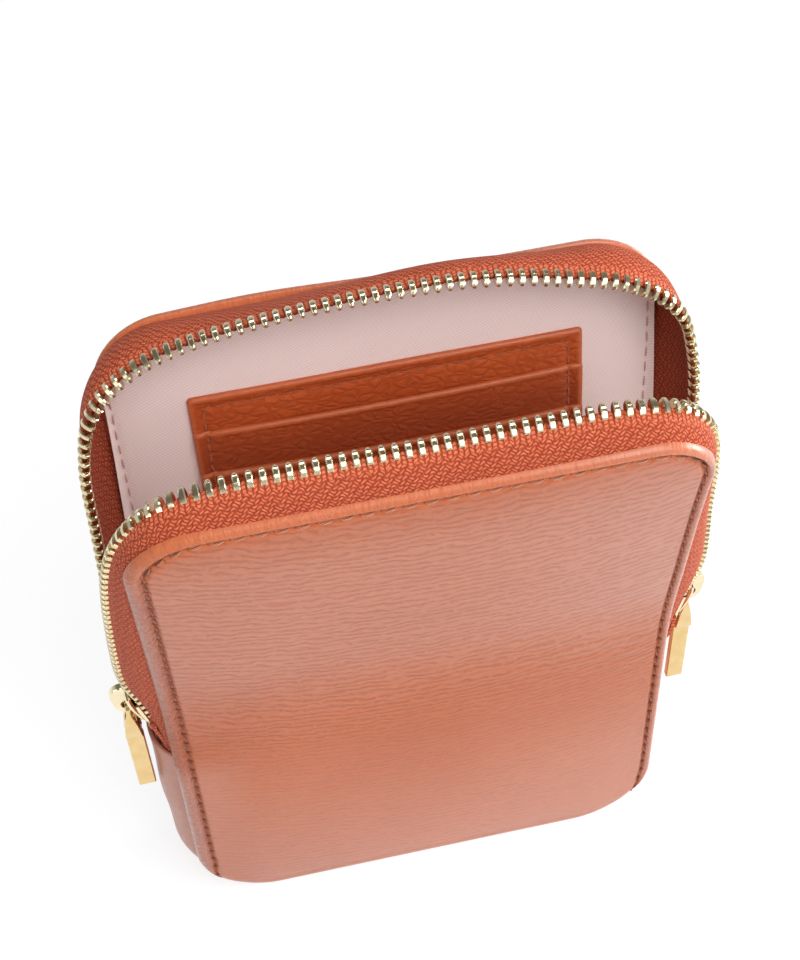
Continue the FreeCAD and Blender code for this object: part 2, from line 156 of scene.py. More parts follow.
FLOOR_REACH, FLOOR_LEVEL = 4.0, -0.0003
floor_spots = [(x * FLOOR_REACH, y * FLOOR_REACH, FLOOR_LEVEL)
               for x, y in ((-1, -1), (1, -1), (1, 1), (-1, 1))]
floor_mesh = bpy.data.meshes.new("floor")
floor_mesh.from_pydata(floor_spots, [], [(0, 1, 2, 3)])
floor = bpy.data.objects.new("floor", floor_mesh)
scene.collection.objects.link(floor)
floor_white = bpy.data.materials.new("floor_white")
floor_white.use_nodes = True
floor_white.node_tree.nodes.clear()
wire = Value(floor_white.node_tree)
ray_kinds = ("Is Camera Ray", "Is Glossy Ray", "Is Transmission Ray")
rays = [wire.node("ShaderNodeLightPath", out=kind) for kind in ray_kinds]
seen = (rays[0] + rays[1] + rays[2]).math("MINIMUM", 1.0)
paper = wire.node("ShaderNodeBsdfDiffuse", None, {"Color": (0.88, 0.88, 0.89, 1)})
reach = wire.node("ShaderNodeVectorMath", {"operation": "LENGTH"}, {0: wire.place()}, "Value")
shine = 1.17 - reach.step(0.75, 1.5) * 0.75
glow = wire.node("ShaderNodeEmission", None, {"Color": (1, 1, 1, 1), "Strength": shine})
sweep = wire.node("ShaderNodeMixShader", None, {0: seen * 0.66, 1: paper, 2: glow})
wire.node("ShaderNodeOutputMaterial", None, {"Surface": sweep})
floor_mesh.materials.append(floor_white)

world = bpy.data.worlds.new("room")
scene.world = world
world.use_nodes = True
room = world.node_tree.nodes["Background"].inputs
room["Color"].default_value = (0.98, 0.98, 1.0, 1)
wire = Value(world.node_tree)
near_horizon = wire.place().axis(2).step(0.80, 0.15)
mirrored = wire.node("ShaderNodeLightPath", out="Is Glossy Ray")
strength = 0.27 + mirrored * (near_horizon * 0.60 - 0.12)
world.node_tree.links.new(strength.socket, room["Strength"])

LAMP_AIM = Vector((0, 0, 0.1))
for name, spot, width, height, power in (
    ("lamp_front", (0.40, -0.72, 0.98), 0.85, 0.85, 9.0),
    ("lamp_over", (0.16, -0.24, 1.30), 1.0, 1.0, 6.0),
    ("lamp_left", (-1.0, -0.60, 0.60), 0.7, 0.7, 1.7),
    ("lamp_glint", (0.15, 0.38, 1.20), 0.8, 0.12, 3.0),
    ("lamp_right", (0.90, 0.04, 0.24), 0.38, 0.38, 5.0),
):
    lamp_data = bpy.data.lights.new(name, "AREA")
    lamp_data.shape = "RECTANGLE"
    lamp_data.size, lamp_data.size_y, lamp_data.energy = width, height, power
    lamp = bpy.data.objects.new(name, lamp_data)
    scene.collection.objects.link(lamp)
    lamp.location = spot
    lamp.rotation_euler = (LAMP_AIM - Vector(spot)).to_track_quat("-Z", "Y").to_euler()
    lamp.visible_glossy = name != "lamp_over"
    lamp.visible_diffuse = name != "lamp_glint"


# Leather panels
# Two panels of grained calf, front and back, each glued over a thin board with
# its edge turned round a cord and sewn down. Above the fold they lean outwards.
MM = 0.001
SIDES = {"front": -1, "back": 1}
PANEL_HALF, PANEL_TOP, PANEL_THICK = 66.5, 200.0, 2.6
TOP_ROUND, BOTTOM_ROUND = 18.0, 23.0
FACE = 13.5  # the leather's outside, from the middle of the pouch
FIBRE = 12.8  # the layer that keeps its length where the panel bends
FOLD, FOLD_REACH = 102.0, 20.0
LEAN = {-1: 11.9, 1: -9.9}  # degrees
SWAY = {-1: -1.5, 1: 2.6}  # how far the upper right side is drawn in or out
SWAY_FROM, SWAY_REACH = 106, 70
EDGE_STEP = 0.4
SEAM_PITCH = 4.6
NO_SEAM = 20.0  # the gap that stands for no seam nearby


def new_piece(name, points, faces, finish, sharp=None):
    """A mesh object from points in millimetres, its faces turned outwards."""
    mesh = bpy.data.meshes.new(name)
    places = (np.asarray(points, float) * MM).tolist()
    mesh.from_pydata(places, [], [list(map(int, face)) for face in faces])
    shape = bmesh.new()
    shape.from_mesh(mesh)
    bmesh.ops.recalc_face_normals(shape, faces=shape.faces)
    shape.to_mesh(mesh)
    shape.free()
    mesh.shade_smooth()
    if sharp:
        mesh.set_sharp_from_angle(angle=radians(sharp))
    mesh.materials.append(finish)
    made = bpy.data.objects.new(name, mesh)
    scene.collection.objects.link(made)
    return made


def measure(made, name, values):
    """Keeps a number for each point of a mesh, for its material to read."""
    kept = made.data.attributes.new(name, "FLOAT", "POINT")
    kept.data.foreach_set("value", np.asarray(values, np.float32))


def shell(outer, inner, rims=()):
    """A closed skin: two grids of points, joined round their edges through any rims between."""
    rows, cols = outer.shape[:2]
    index = np.arange(rows * cols).reshape(rows, cols)
    corners = index[:-1, :-1], index[:-1, 1:], index[1:, 1:], index[1:, :-1]
    quads = np.stack(corners, -1).reshape(-1, 4)
    edge = rim_of(index)
    bands = [edge]
    bands += [2 * index.size + n * len(edge) + np.arange(len(edge)) for n in range(len(rims))]
    bands.append(edge + index.size)
    faces = [quads, quads[:, ::-1] + index.size]
    for a, b in zip(bands, bands[1:]):
        faces.append(np.stack([a, b, np.roll(b, -1), np.roll(a, -1)], -1))
    points = np.concatenate([outer.reshape(-1, 3), inner.reshape(-1, 3), *rims])
    return points, np.concatenate(faces)


def rim_of(grid):
    return np.concatenate([grid[0], grid[1:, -1], grid[-1, -2::-1], grid[-2:0:-1, 0]])


def xyz(*parts):
    """Points from their three coordinates, of which some may be shared."""
    return np.stack(np.broadcast_arrays(*parts), -1)


def run_along(points):
    """The length of a path from its start to each of its points."""
    return np.concatenate([[0], np.cumsum(np.linalg.norm(np.diff(points, axis=0), axis=1))])


def eased(t):
    t = np.clip(t, 0, 1)
    return t * t * (3 - 2 * t)


def hump(at, middle, width):
    """A smooth rise to 1 at the middle, and down again."""
    return np.exp(-((at - middle) / width) ** 2)


def quarter_round(inside, radius):
    """The height of a rounded edge, from 0 at the edge to 1."""
    return np.sqrt(np.clip(1 - ((radius - np.minimum(inside, radius)) / radius) ** 2, 0, 1))


def bent(points, side):
    """Points of an upright panel, leaned over at the fold in a smooth curve."""
    points = np.asarray(points, float)
    t = np.linspace(0, 1, 201)
    run = FOLD - FOLD_REACH + 2 * FOLD_REACH * t
    angle = radians(LEAN[side]) * eased(t)
    step = run[1] - run[0]
    middle = 0.5 * (angle[1:] + angle[:-1])
    y = np.concatenate([[0], np.cumsum(-np.sin(middle) * step)]) + side * FIBRE
    z = np.concatenate([[0], np.cumsum(np.cos(middle) * step)]) + run[0]
    height = points[..., 2]
    turn = np.interp(height, run, angle)
    past = np.maximum(height - run[-1], 0)
    below = np.minimum(height - run[0], 0)
    off = points[..., 1] - side * FIBRE
    to_right = np.clip(points[..., 0] / PANEL_HALF, 0, 1.1) ** 2
    straight = past * cos(angle[-1]) + below
    made = points.copy()
    made[..., 0] += SWAY[side] * eased((height - SWAY_FROM) / SWAY_REACH) * to_right
    made[..., 1] = np.interp(height, run, y) - past * sin(angle[-1]) + off * np.cos(turn)
    made[..., 2] = np.interp(height, run, z) + straight + off * np.sin(turn)
    return made


def edge_distance(x, z):
    """How far inside the panel's outline a point is, and which way out of it is."""
    upper = z > PANEL_TOP / 2
    radius = np.where(upper, TOP_ROUND, BOTTOM_ROUND)
    across = np.abs(x) - (PANEL_HALF - radius)
    along = np.where(upper, z - (PANEL_TOP - radius), radius - z)
    a, b = np.maximum(across, 0), np.maximum(along, 0)
    corner = np.hypot(a, b)
    inside = radius - corner - np.minimum(np.maximum(across, along), 0)
    out_x = np.where(corner > 0, a, (across > along) * 1.0) * np.sign(x)
    out_z = np.where(corner > 0, b, (across <= along) * 1.0) * np.where(upper, 1, -1)
    size = np.maximum(np.hypot(out_x, out_z), 1e-9)
    return np.maximum(inside, 0), out_x / size, out_z / size


def outline_grid(insets, steps, columns):
    """A grid over a panel-shaped piece, its rows closer together round the corners.
    insets: how far its edge lies inside the panel's at the foot, each step and the head."""
    foot_inset, side_insets, head_inset = insets
    low, high = BOTTOM_ROUND - foot_inset, TOP_ROUND - head_inset
    turn = np.linspace(0, pi / 2, 48)
    foot = [(BOTTOM_ROUND - low * cos(t), PANEL_HALF - BOTTOM_ROUND + low * sin(t))
            for t in turn]
    head = [(PANEL_TOP - TOP_ROUND + high * sin(t),
             PANEL_HALF - TOP_ROUND + high * cos(t)) for t in turn]
    sides = [(z, PANEL_HALF - inset) for z, inset in zip(steps, side_insets)]
    rows = np.array(foot + sides + head)
    share = np.asarray(columns)
    return rows[:, 1:] * share, np.repeat(rows[:, :1], len(share), 1)


def edge_columns(steps, next_step, count, half):
    """Shares of a half width, from edge to edge: steps in from each edge, then even ones."""
    side = np.concatenate([1 - steps / half, np.linspace(1 - next_step / half, 0, count)])
    return np.concatenate([-side, side[-2::-1]])


def edge_path(lowest):
    """The panel's edge, as places and ways out. It runs from an angle round the lower left
    corner, over the top, to the same angle at the lower right."""
    turn = np.radians(np.linspace(lowest, 0, 30))
    low = [(PANEL_HALF - BOTTOM_ROUND * (1 - cos(t)), BOTTOM_ROUND * (1 - sin(t)),
            cos(t), -sin(t)) for t in turn]
    heights = np.arange(BOTTOM_ROUND + EDGE_STEP, PANEL_TOP - TOP_ROUND, EDGE_STEP)
    side = [(PANEL_HALF, z, 1.0, 0.0) for z in heights]
    turn = np.radians(np.linspace(0, 90, 60))
    high = [(PANEL_HALF - TOP_ROUND * (1 - cos(t)),
             PANEL_TOP - TOP_ROUND * (1 - sin(t)), cos(t), sin(t)) for t in turn]
    across = np.arange(PANEL_HALF - TOP_ROUND - EDGE_STEP, 0, -EDGE_STEP)
    right = np.array(low + side + high + [(x, PANEL_TOP, 0.0, 1.0) for x in across])
    return np.concatenate([right * (-1, 1, -1, 1), right[::-1]])


def seam_inset(out_x, out_z):
    """How far the sewn line lies inside the edge, how high the edge is rolled there and
    whether it is sewn. All fade round the lower corners, where the leather turns under."""
    low = np.degrees(np.arctan2(np.maximum(-out_z, 0), np.abs(out_x) + 1e-9))
    inset = (3.4 - 0.9 * out_x) * (1 - eased((low - 8) / 37))
    return inset, 1 - eased((low - 14) / 32), 1 - eased((low - 37) / 9)


edge = edge_path(48)
seam_spots = edge[:, :2] - edge[:, 2:] * seam_inset(edge[:, 2], edge[:, 3])[0][:, None]
seam_run = run_along(seam_spots)
seam_count = int(seam_run[-1] / SEAM_PITCH)
seam_run *= seam_count / seam_run[-1]
seam_way = np.gradient(seam_spots, axis=0) / np.gradient(seam_run)[:, None]
seam_tree = kdtree.KDTree(len(seam_spots))
for n, (x, z) in enumerate(seam_spots):
    seam_tree.insert((x, z, 0), n)
seam_tree.balance()


def crease(x, z):
    """Fine wrinkles that the fold leaves across a panel."""
    draw = np.random.default_rng(7)
    waves = 22
    total = np.zeros_like(x)
    for _ in range(waves):
        wave = draw.uniform(2.4, 7.0)
        phase = z / wave + x / draw.uniform(50, 160) * draw.choice([-1, 1]) + draw.uniform()
        swing = np.sin(2 * pi * (x / draw.uniform(40, 90) + draw.uniform()))
        total += wave * np.sin(2 * pi * phase) * (0.55 + 0.45 * swing)
    return total / waves * hump(z, 92, 13)


def panel_rise(x, z):
    """Height of the leather over its face, with a corded rim, a sewn groove and a soft
    middle. Also what its material reads: the gap to the seam and the run along it."""
    inside, out_x, out_z = edge_distance(x, z)
    groove, turned, sewn_here = seam_inset(out_x, out_z)
    near = np.array([seam_tree.find((a, b, 0))[1] if d < 9 else 0
                     for a, b, d in zip(x.flat, z.flat, inside.flat)])
    off, way = np.stack([x.ravel(), z.ravel()], -1) - seam_spots[near], seam_way[near]
    run = (seam_run[near] + (off * way).sum(1) / (way ** 2).sum(1)).reshape(x.shape)
    gap = inside - groove
    share = inside / np.maximum(groove, 0.3)
    bead = np.where(
        share < 0.5,
        -1.6 + 2.2 * np.sqrt(np.clip(1 - (1 - 2 * share) ** 2, 0, 1)),
        0.05 + 0.55 * np.cos(pi * np.clip(2 * share - 1, 0, 1)),
    )
    sewn = np.where(gap < 0, bead, -0.5 + 0.85 * eased(gap / 1.3))
    sewn -= 0.15 * np.cos(2 * pi * (run - 0.5)) * hump(gap, 0, 0.7)
    rolled = -1.0 + 1.35 * quarter_round(inside, 2.6)
    off_side, off_end = PANEL_HALF - np.abs(x), np.minimum(z, PANEL_TOP - z)
    in_x, in_z = (1 - np.exp(-np.maximum(off - 4, 0) / 9) for off in (off_side, off_end))
    rise = turned * sewn + (1 - turned) * rolled + 0.8 * (in_x * in_z)
    rise += 0.9 * hump(z, 16, 38) * eased((off_side + 1) / 22)
    return rise, gap + NO_SEAM * (1 - sewn_here), run


def layered(tone, *layers):
    """A colour with others laid over it, each by its own share."""
    for share, colour in layers:
        tone = share.blend(tone, colour)
    return tone


def panel_leather():
    made, wire, link = finish_of(
        "panel_leather", Specular_IOR_Level=0.2, Coat_Roughness=0.30, Coat_IOR=1.6)
    place = wire.place()
    x, y, z = (place.axis(n) for n in range(3))
    gap, run = wire.read("gap"), wire.read("run")
    off_seam = gap.math("ABSOLUTE")
    rim = gap.step(0.1, -0.5)
    left, right = x.step(-0.044, -0.060), x.step(0.0, 0.066)
    flap = z.step(0.066, 0.100)
    # fold: the band under the fold, where painted shade deepens the grain
    fold = z.step(0.056, 0.080) * z.step(0.108, 0.086)

    def spread(wide, high):
        return wire.vector(x / wide, y / wide, high)

    def by_height(total, *changes):
        for low, high, amount in changes:
            total = total + z.step(low, high) * amount
        return total

    # Grain: broken, wavering lines that turn up at the sides, over a fine pebble.
    slant = z - (x - 0.01) * (x - 0.01) * 3.0
    lines = slant / 0.0026 + z.math("MINIMUM", 0.09) / 0.0070
    waver = spread(0.024, z / 0.013).noise(1.0) * 1.5
    waver = waver + spread(0.0056, lines * 0.5).noise(1.0) * 1.9
    broken = spread(0.0021, lines * 0.9 + 7.0).noise(1.0, 1.0).step(0.27, 0.54)
    line = ((lines + waver) * (2 * pi)).swing()
    ridge = 1 - line.math("POWER", 2.0) * (0.2 + broken * 0.8)
    pebble = place.noise(950.0).step(0.3, 0.7)
    wrinkle = wire.vector(run * (SEAM_PITCH / 1.6), gap / 2.6).noise(1.0, 3.0)
    grain = ridge * (0.45 + flap * 0.40) * (1 - rim) + pebble * 0.15 + wrinkle * rim * 2.4

    # Haze: how far the finish mirrors the pale floor.
    haze = by_height(1.0, (0.012, 0.084, -0.9), (0.074, 0.126, 0.45), (0.170, 0.200, -0.42))
    haze_left = by_height(0.85, (0.064, 0.081, -0.75), (0.082, 0.096, 0.25),
                          (0.096, 0.126, 0.2), (0.170, 0.200, -0.4))
    haze = haze * (1 - left) + haze_left * left + right * 0.34

    # Colour: painted shade at the left and in the groove and holes, a painted deeper orange at the
    # top rim, and grain valleys darker, partly with painted shade.
    crown = gap.step(5.0, 0.6) * gap.step(-0.6, 0.2) * z.step(0.176, 0.190)
    groove, dull = off_seam.step(0.50, 0.12), off_seam.step(1.3, 0.25)
    off_hole = (run.math("FRACT") - 0.5).math("ABSOLUTE") * SEAM_PITCH
    hole = (off_hole + off_seam * 0.9).step(0.95, 0.25)
    # the grain's valleys darker, partly their own colour and partly painted shade, most on the
    # flap and across the fold
    grain_and_crease_shade = (1 - ridge) * (0.15 + flap * 0.22 + fold * 0.12) * (1 - rim)
    tone = place.noise(22.0).step(0.3, 0.7)
    tone = layered(
        tone.blend((0.536, 0.156, 0.070), (0.574, 0.175, 0.082)),
        # painted shade: the left side darker, away from the light
        (x.step(-0.020, -0.062) * 0.22, (0.400, 0.115, 0.052)),
        # painted reflection: a deeper orange on the top rim and the strip under it, where they
        # mirror no pale light
        ((crown + rim * z.step(0.180, 0.196)) * 0.7, (0.610, 0.160, 0.060)),
        # the grain's valleys: their own colour with painted shade in them
        (grain_and_crease_shade * (1 - y.step(0.0, 0.002) * 0.55), (0.430, 0.095, 0.036)),
        # painted shade on the left rim below its top
        (rim * left * z.step(0.190, 0.170) * 0.8, (0.380, 0.105, 0.052)),
        # painted shade in the sewn groove, less along the top
        (groove * (0.72 - z.step(0.186, 0.196) * 0.35), (0.230, 0.056, 0.024)),
        # painted shade in the stitch holes, less along the top
        (hole * (0.8 - z.step(0.184, 0.194) * 0.5), (0.170, 0.040, 0.018)),
    )
    coat = haze - crown * 0.15 + rim * right * 0.3 - rim * left * 0.25
    coat = coat * (0.78 + grain * 0.42) * (1 - dull * 0.85)
    link(Base_Color=tone, Roughness=0.50 + (1 - grain) * 0.08 - rim * 0.2,
         Normal=(grain - hole * 1.2).bump(0.75, 0.00048), Coat_Weight=coat.math("MINIMUM", 1.0))
    return made


hide = panel_leather()
rim_steps = np.array([0, 0.05, 0.2, 0.45, 0.8, 1.15, 1.5, 1.8, 2.1, 2.4, 2.7, 3.0, 3.3, 3.6, 3.9,
                      4.2, 4.5, 4.8, 5.1, 5.4, 5.8, 6.3, 7.0, 8.0, 9.4, 11.2, 13.4])
panel_columns = edge_columns(rim_steps, 15.6, 24, PANEL_HALF)
panel_rows = np.r_[24:66:28j, 67:118:0.8, 119:181:42j]
for name, side in SIDES.items():
    x, z = outline_grid((0, 0 * panel_rows, 0), panel_rows, panel_columns)
    rise, gap, run = panel_rise(x, z)
    inside, out_x, out_z = edge_distance(x, z)
    rise = rise + 0.14 * crease(x, z) * eased((inside - 4) / 6)
    peak = 1.5 * (side > 0) * hump(x, -26, 24) * eased((z - 184) / 14)
    outer = xyz(x, side * (FACE + rise), z + peak)
    back_x, back_z = outline_grid((1.1, 0 * panel_rows + 2.0, 2.0), panel_rows, panel_columns)
    back_y = side * (FACE - PANEL_THICK)
    inner = xyz(back_x, back_y, back_z + peak)
    lip, lip_x, lip_z = rim_of(outer), rim_of(out_x), rim_of(out_z)
    rims = []
    for push, share in ((0.0, 0.10), (-0.35, 0.30), (-1.1, 0.55), (-1.7, 0.80)):
        ring = lip + xyz(lip_x * push, 0, lip_z * push)
        ring[:, 1] += share * (back_y - lip[:, 1])
        rims.append(bent(ring, side))
    panel = new_piece(name + "_panel", *shell(bent(outer, side), bent(inner, side), rims), hide)
    for title, values, unseen in (("gap", gap, NO_SEAM), ("run", run, 0.0)):
        values = [values.ravel(), np.full(values.size, unseen), *[rim_of(values)] * len(rims)]
        measure(panel, title, np.concatenate(values))
    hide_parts(*(f"{name}_{layer}_{part}" for layer in ("leather", "board")
                         for part in ("upper", "lower")))
    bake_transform(panel)


# Seams of the panels
# Waxed thread, sewn by machine through rim and lining, that shows as short
# raised stitches in the groove behind the rim.
def stitch_shape(long, radius, slant=0.0):
    """One stitch along X on the plane of a piece, its ends dipping under and to the sides."""
    rings = []
    for t, wide in ((-1, 0.35), (-0.62, 0.92), (0, 1.0), (0.62, 0.92), (1, 0.35)):
        lift = 0.9 * radius * (1 - t * t) - 0.55 * radius
        for turn in np.linspace(0, 2 * pi, 7)[:-1]:
            across = wide * radius * cos(turn) + slant * t
            rings.append((t * long / 2, across, lift + 0.85 * wide * radius * sin(turn)))
    return loft(np.array(rings).reshape(5, 6, 3))


def loft(rings):
    """A closed solid through rings that each have the same count of points."""
    count, size = rings.shape[:2]
    index = np.arange(count * size).reshape(count, size)
    a, b = index[:-1], index[1:]
    quads = np.stack([a, np.roll(a, -1, 1), np.roll(b, -1, 1), b], -1).reshape(-1, 4)
    return rings.reshape(-1, 3), [*quads.tolist(), index[0][::-1].tolist(), index[-1].tolist()]


def row_tree():
    """Nodes that set a piece at even steps along a path, its X along the path and its Z
    along the path's lift."""
    tree = bpy.data.node_groups.new("row_along_path", "GeometryNodeTree")
    for title, way, kind in (
        ("Path", "INPUT", "Geometry"), ("Piece", "INPUT", "Object"), ("Count", "INPUT", "Int"),
        ("Wobble", "INPUT", "Float"), ("Seed", "INPUT", "Int"), ("Finish", "INPUT", "Material"),
        ("Row", "OUTPUT", "Geometry"),
    ):
        tree.interface.new_socket(name=title, in_out=way, socket_type="NodeSocket" + kind)
    wire = Value(tree)

    def given(title):
        return wire.node("NodeGroupInput", out=title)

    path = wire.node("GeometryNodeMeshToCurve", None, {"Mesh": given("Path")})
    path = wire.node("GeometryNodeResampleCurve", {"mode": "COUNT"},
                     {"Curve": path, "Count": given("Count")})
    run = wire.node("GeometryNodeInputTangent")
    lift = wire.node("GeometryNodeInputNamedAttribute", {"data_type": "FLOAT_VECTOR"},
                     {"Name": "lift"})
    turn = wire.node("FunctionNodeAlignRotationToVector", {"axis": "X"}, {"Vector": run})
    turn = wire.node("FunctionNodeAlignRotationToVector", {"axis": "Z", "pivot_axis": "X"},
                     {"Rotation": turn, "Vector": lift})
    sway = wire.node("FunctionNodeRandomValue", {"data_type": "FLOAT"},
                     {2: 0 - given("Wobble"), 3: given("Wobble"), "Seed": given("Seed")}, 1)
    sway = wire.node("FunctionNodeAxisAngleToRotation", None, {"Axis": (0, 0, 1), "Angle": sway})
    turn = wire.node("FunctionNodeRotateRotation", {"rotation_space": "LOCAL"},
                     {"Rotation": turn, "Rotate By": sway})
    unit = wire.node("GeometryNodeObjectInfo", None, {"Object": given("Piece")}, "Geometry")
    row = wire.node("GeometryNodeInstanceOnPoints", None,
                    {"Points": path, "Instance": unit, "Rotation": turn})
    row = wire.node("GeometryNodeRealizeInstances", None, {"Geometry": row})
    row = wire.node("GeometryNodeSetMaterial", None,
                    {"Geometry": row, "Material": given("Finish")})
    wire.node("NodeGroupOutput", None, {"Row": row})
    return tree


rows_along = row_tree()


def set_row(name, points, lift, unit, count, finish, wobble=0.0, seed=1, sharp=None):
    """A row of like pieces along a path of points, with the way that each piece's Z points."""
    mesh = bpy.data.meshes.new(name)
    mesh.from_pydata((points * MM).tolist(), [(n, n + 1) for n in range(len(points) - 1)], [])
    lifts = mesh.attributes.new("lift", "FLOAT_VECTOR", "POINT")
    lifts.data.foreach_set("vector", lift.astype(np.float32).ravel())
    made = bpy.data.objects.new(name, mesh)
    scene.collection.objects.link(made)
    model = new_piece(name + "_unit", *unit, finish, sharp)
    modifier = made.modifiers.new("row", "NODES")
    modifier.node_group = rows_along
    names = {s.name: s.identifier for s in rows_along.interface.items_tree}
    given = {"Piece": model, "Count": count, "Wobble": wobble, "Seed": seed, "Finish": finish}
    for title, value in given.items():
        modifier[names[title]] = value
    graph = bpy.context.evaluated_depsgraph_get()
    made.data = bpy.data.meshes.new_from_object(made.evaluated_get(graph), depsgraph=graph)
    made.modifiers.clear()
    bpy.data.objects.remove(model)
    return made


def sew(name, line, side, out, unit, count, finish, wobble, seed):
    """A row of stitches along a line on an upright panel, bent with it. out: the way they rise."""
    path = bent(line, side)
    lift = bent(line + (0, out, 0), side) - path
    return set_row(name, path, lift, unit, count, finish, wobble, seed)


def thread(name, light, dark, crown=None):
    made, wire, link = finish_of(name, Specular_IOR_Level=0.3, Sheen_Weight=0.2)
    ply = wire.node("ShaderNodeTexWave", {"bands_direction": "DIAGONAL"},
                    {"Vector": wire.place(), "Scale": 900.0, "Distortion": 1.5}, "Fac")
    tone = ply.blend(dark, light)
    # painted highlight: along the top the stitches are paler, as if lit from above
    if crown:
        tone = wire.place().axis(2).step(0.184, 0.196).blend(tone, ply.blend(light, crown))
    link(Base_Color=tone, Roughness=0.72 - ply * 0.15, Normal=ply.bump(0.4, 0.0001))
    return made


# the third colour is the painted highlight on the stitches along the top
tan_thread = thread("tan_thread", (0.400, 0.130, 0.064), (0.230, 0.068, 0.032),
                    (0.720, 0.380, 0.240))
stitches = seam_count - 1
stitch_run = np.linspace(1, stitches, 4 * stitches)
spots = np.stack([np.interp(stitch_run, seam_run, values) for values in seam_spots.T], -1)
upper = eased((spots[:, 1] - 182) / 12)
for name, side in SIDES.items():
    depth = side * (FACE - 0.30 + 0.42 * upper)
    line = xyz(spots[:, 0], depth, spots[:, 1] - 0.7 * upper)
    seam = sew(name + "_seam", line, side, side, stitch_shape(2.9, 0.33, 0.3), stitches,
               tan_thread, wobble=0.05, seed=3)
    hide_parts(name + "_stitches_upper", name + "_stitches_lower")
    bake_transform(seam)


# Panel linings
# A pale pink cotton twill, cut to each panel, glued flat to its inside and
# turned in over the root of the zip tape, with a row of hem stitches.
LINING_THICK = 0.5
HEM_INSET, HEM_PITCH, HEM_FOOT = 3.2, 4.4, 124


def lining_twill():
    made, wire, link = finish_of(
        "lining_twill", Specular_IOR_Level=0.2, Sheen_Weight=0.2, Sheen_Roughness=0.4)
    place = wire.place()
    turned = wire.node("ShaderNodeMapping", None,
                       {"Vector": place, "Rotation": (0, radians(24), 0)})
    drift = place.noise(300.0)
    rib = (turned.axis(2) * (2 * pi / 0.00075) + drift * 2.0).swing()
    pick = (turned.axis(0) * (2 * pi / 0.0009) + drift * 2.4).swing()
    height = rib * (0.7 + pick * 0.3)
    tone = height.blend((0.840, 0.650, 0.615), (0.940, 0.790, 0.760))
    tone = (place.noise(60.0, 3.0).step(0.35, 0.75) * 0.3).blend(tone, (0.870, 0.695, 0.660))
    link(Base_Color=tone, Roughness=0.85 - height * 0.1, Normal=height.bump(0.3, 0.00012))
    return made


twill = lining_twill()
lining_rows = np.r_[24:78:24j, 80:124:30j, 126:181:24j]
lining_insets = 0.5 + 2.7 * (1 - eased((lining_rows - 86) / 16))
lining_insets = lining_insets + 1.3 * eased((lining_rows - 130) / 51)
lining_share = np.r_[-1:-0.95:9j, -0.94:0.94:55j, 0.95:1:9j]
for name, side in SIDES.items():
    x, z = outline_grid((3.2, lining_insets, 1.8), lining_rows, lining_share)
    inside, _, _ = edge_distance(x, z)
    lift = 1.1 * (1 - eased((inside - 0.5) / 2.2)) * eased((z - 86) / 16)
    pull_in = 0.16 * hump(inside, HEM_INSET, 0.9) * (name == "back")
    depth = FACE - PANEL_THICK - 0.08 - 0.1 * eased((inside - 0.5) / 1.5)
    swell = 0.10 * np.sin(x / 9.0 + 0.7) * np.sin(z / 13.0) * eased((inside - 3) / 12)
    outer = xyz(x, side * (depth - LINING_THICK - lift + pull_in + swell), z)
    inner = xyz(x, side * (depth - lift * 0.9), z)
    skin = shell(bent(outer, side), bent(inner, side))
    cloth = new_piece(name + "_lining_cloth", *skin, twill, sharp=50)
    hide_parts(name + "_lining_upper", name + "_lining_lower")
    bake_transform(cloth)

pink_thread = thread("pink_thread", (0.760, 0.480, 0.450), (0.560, 0.300, 0.275))
hem = edge_path(0)
hem = hem[hem[:, 1] > HEM_FOOT]
spots = hem[:, :2] - hem[:, 2:] * HEM_INSET
line = xyz(spots[:, 0], FACE - PANEL_THICK - 0.22 - LINING_THICK, spots[:, 1])
count = int(run_along(spots)[-1] / HEM_PITCH)
hem_seam = sew("hem_seam", line, 1, -1, stitch_shape(3.1, 0.28), count, pink_thread,
               wobble=0.06, seed=5)
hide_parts("back_hem_stitches")
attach(hem_seam, "back_flap")


# Gusset
# One strip of smooth leather round the base and up both sides, sewn between the
# panels. Its upper ends are folded over, and it swells out, most on the left.
GUSSET_HALF, GUSSET_TOP = 11.4, 76.0


def gusset_swell(x, z):
    swell = np.interp(z, (0, 6, 13, 22, 45, 60, 76), (0.4, 2.4, 3.9, 4.8, 5.4, 5.5, 5.5))
    return swell * np.where(x > 0, 0.4, 1.0)


def gusset_run(spacing):
    """The strip's path round the base: places, and the way out of the pouch at each."""
    side = [(PANEL_HALF, z, 1.0, 0.0) for z in np.arange(GUSSET_TOP, BOTTOM_ROUND, -spacing)]
    corner = PANEL_HALF - BOTTOM_ROUND
    turns = [(corner + BOTTOM_ROUND * cos(t), BOTTOM_ROUND - BOTTOM_ROUND * sin(t),
              cos(t), -sin(t)) for t in np.linspace(0, pi / 2, 21)]
    right = np.array(side + turns)
    base = np.array([(x, 0, 0, -1) for x in np.linspace(corner, -corner, 40)[1:-1]])
    return np.concatenate([right, base, right[::-1] * (-1, 1, -1, 1)])


def gusset_layer(depth, width, spacing, trim=0.0):
    """A grid along the strip and across it, at a depth under its outer face."""
    run = gusset_run(spacing)
    run = run[run[:, 1] <= GUSSET_TOP - trim]
    across = np.sin(np.linspace(-pi / 2, pi / 2, 25))[None, :]
    share = np.abs(across)
    x, z = run[:, :1], run[:, 1:2]
    flat = np.abs(run[:, 2:3])
    push = gusset_swell(x, z) * flat * (1 - share ** 2.2) + 0.9 * (1 - share ** 7) - 0.9
    push = push + (0.25 - 0.9 * (1 - share ** 3)) * (1 - flat)
    wave = 0.25 * np.sin(z / 6.0 + 2 * across) * (1 - share ** 2) * flat * eased((z - 20) / 20)
    off = push + wave - depth
    return xyz(x + run[:, 2:3] * off, across * width, z + run[:, 3:] * off)


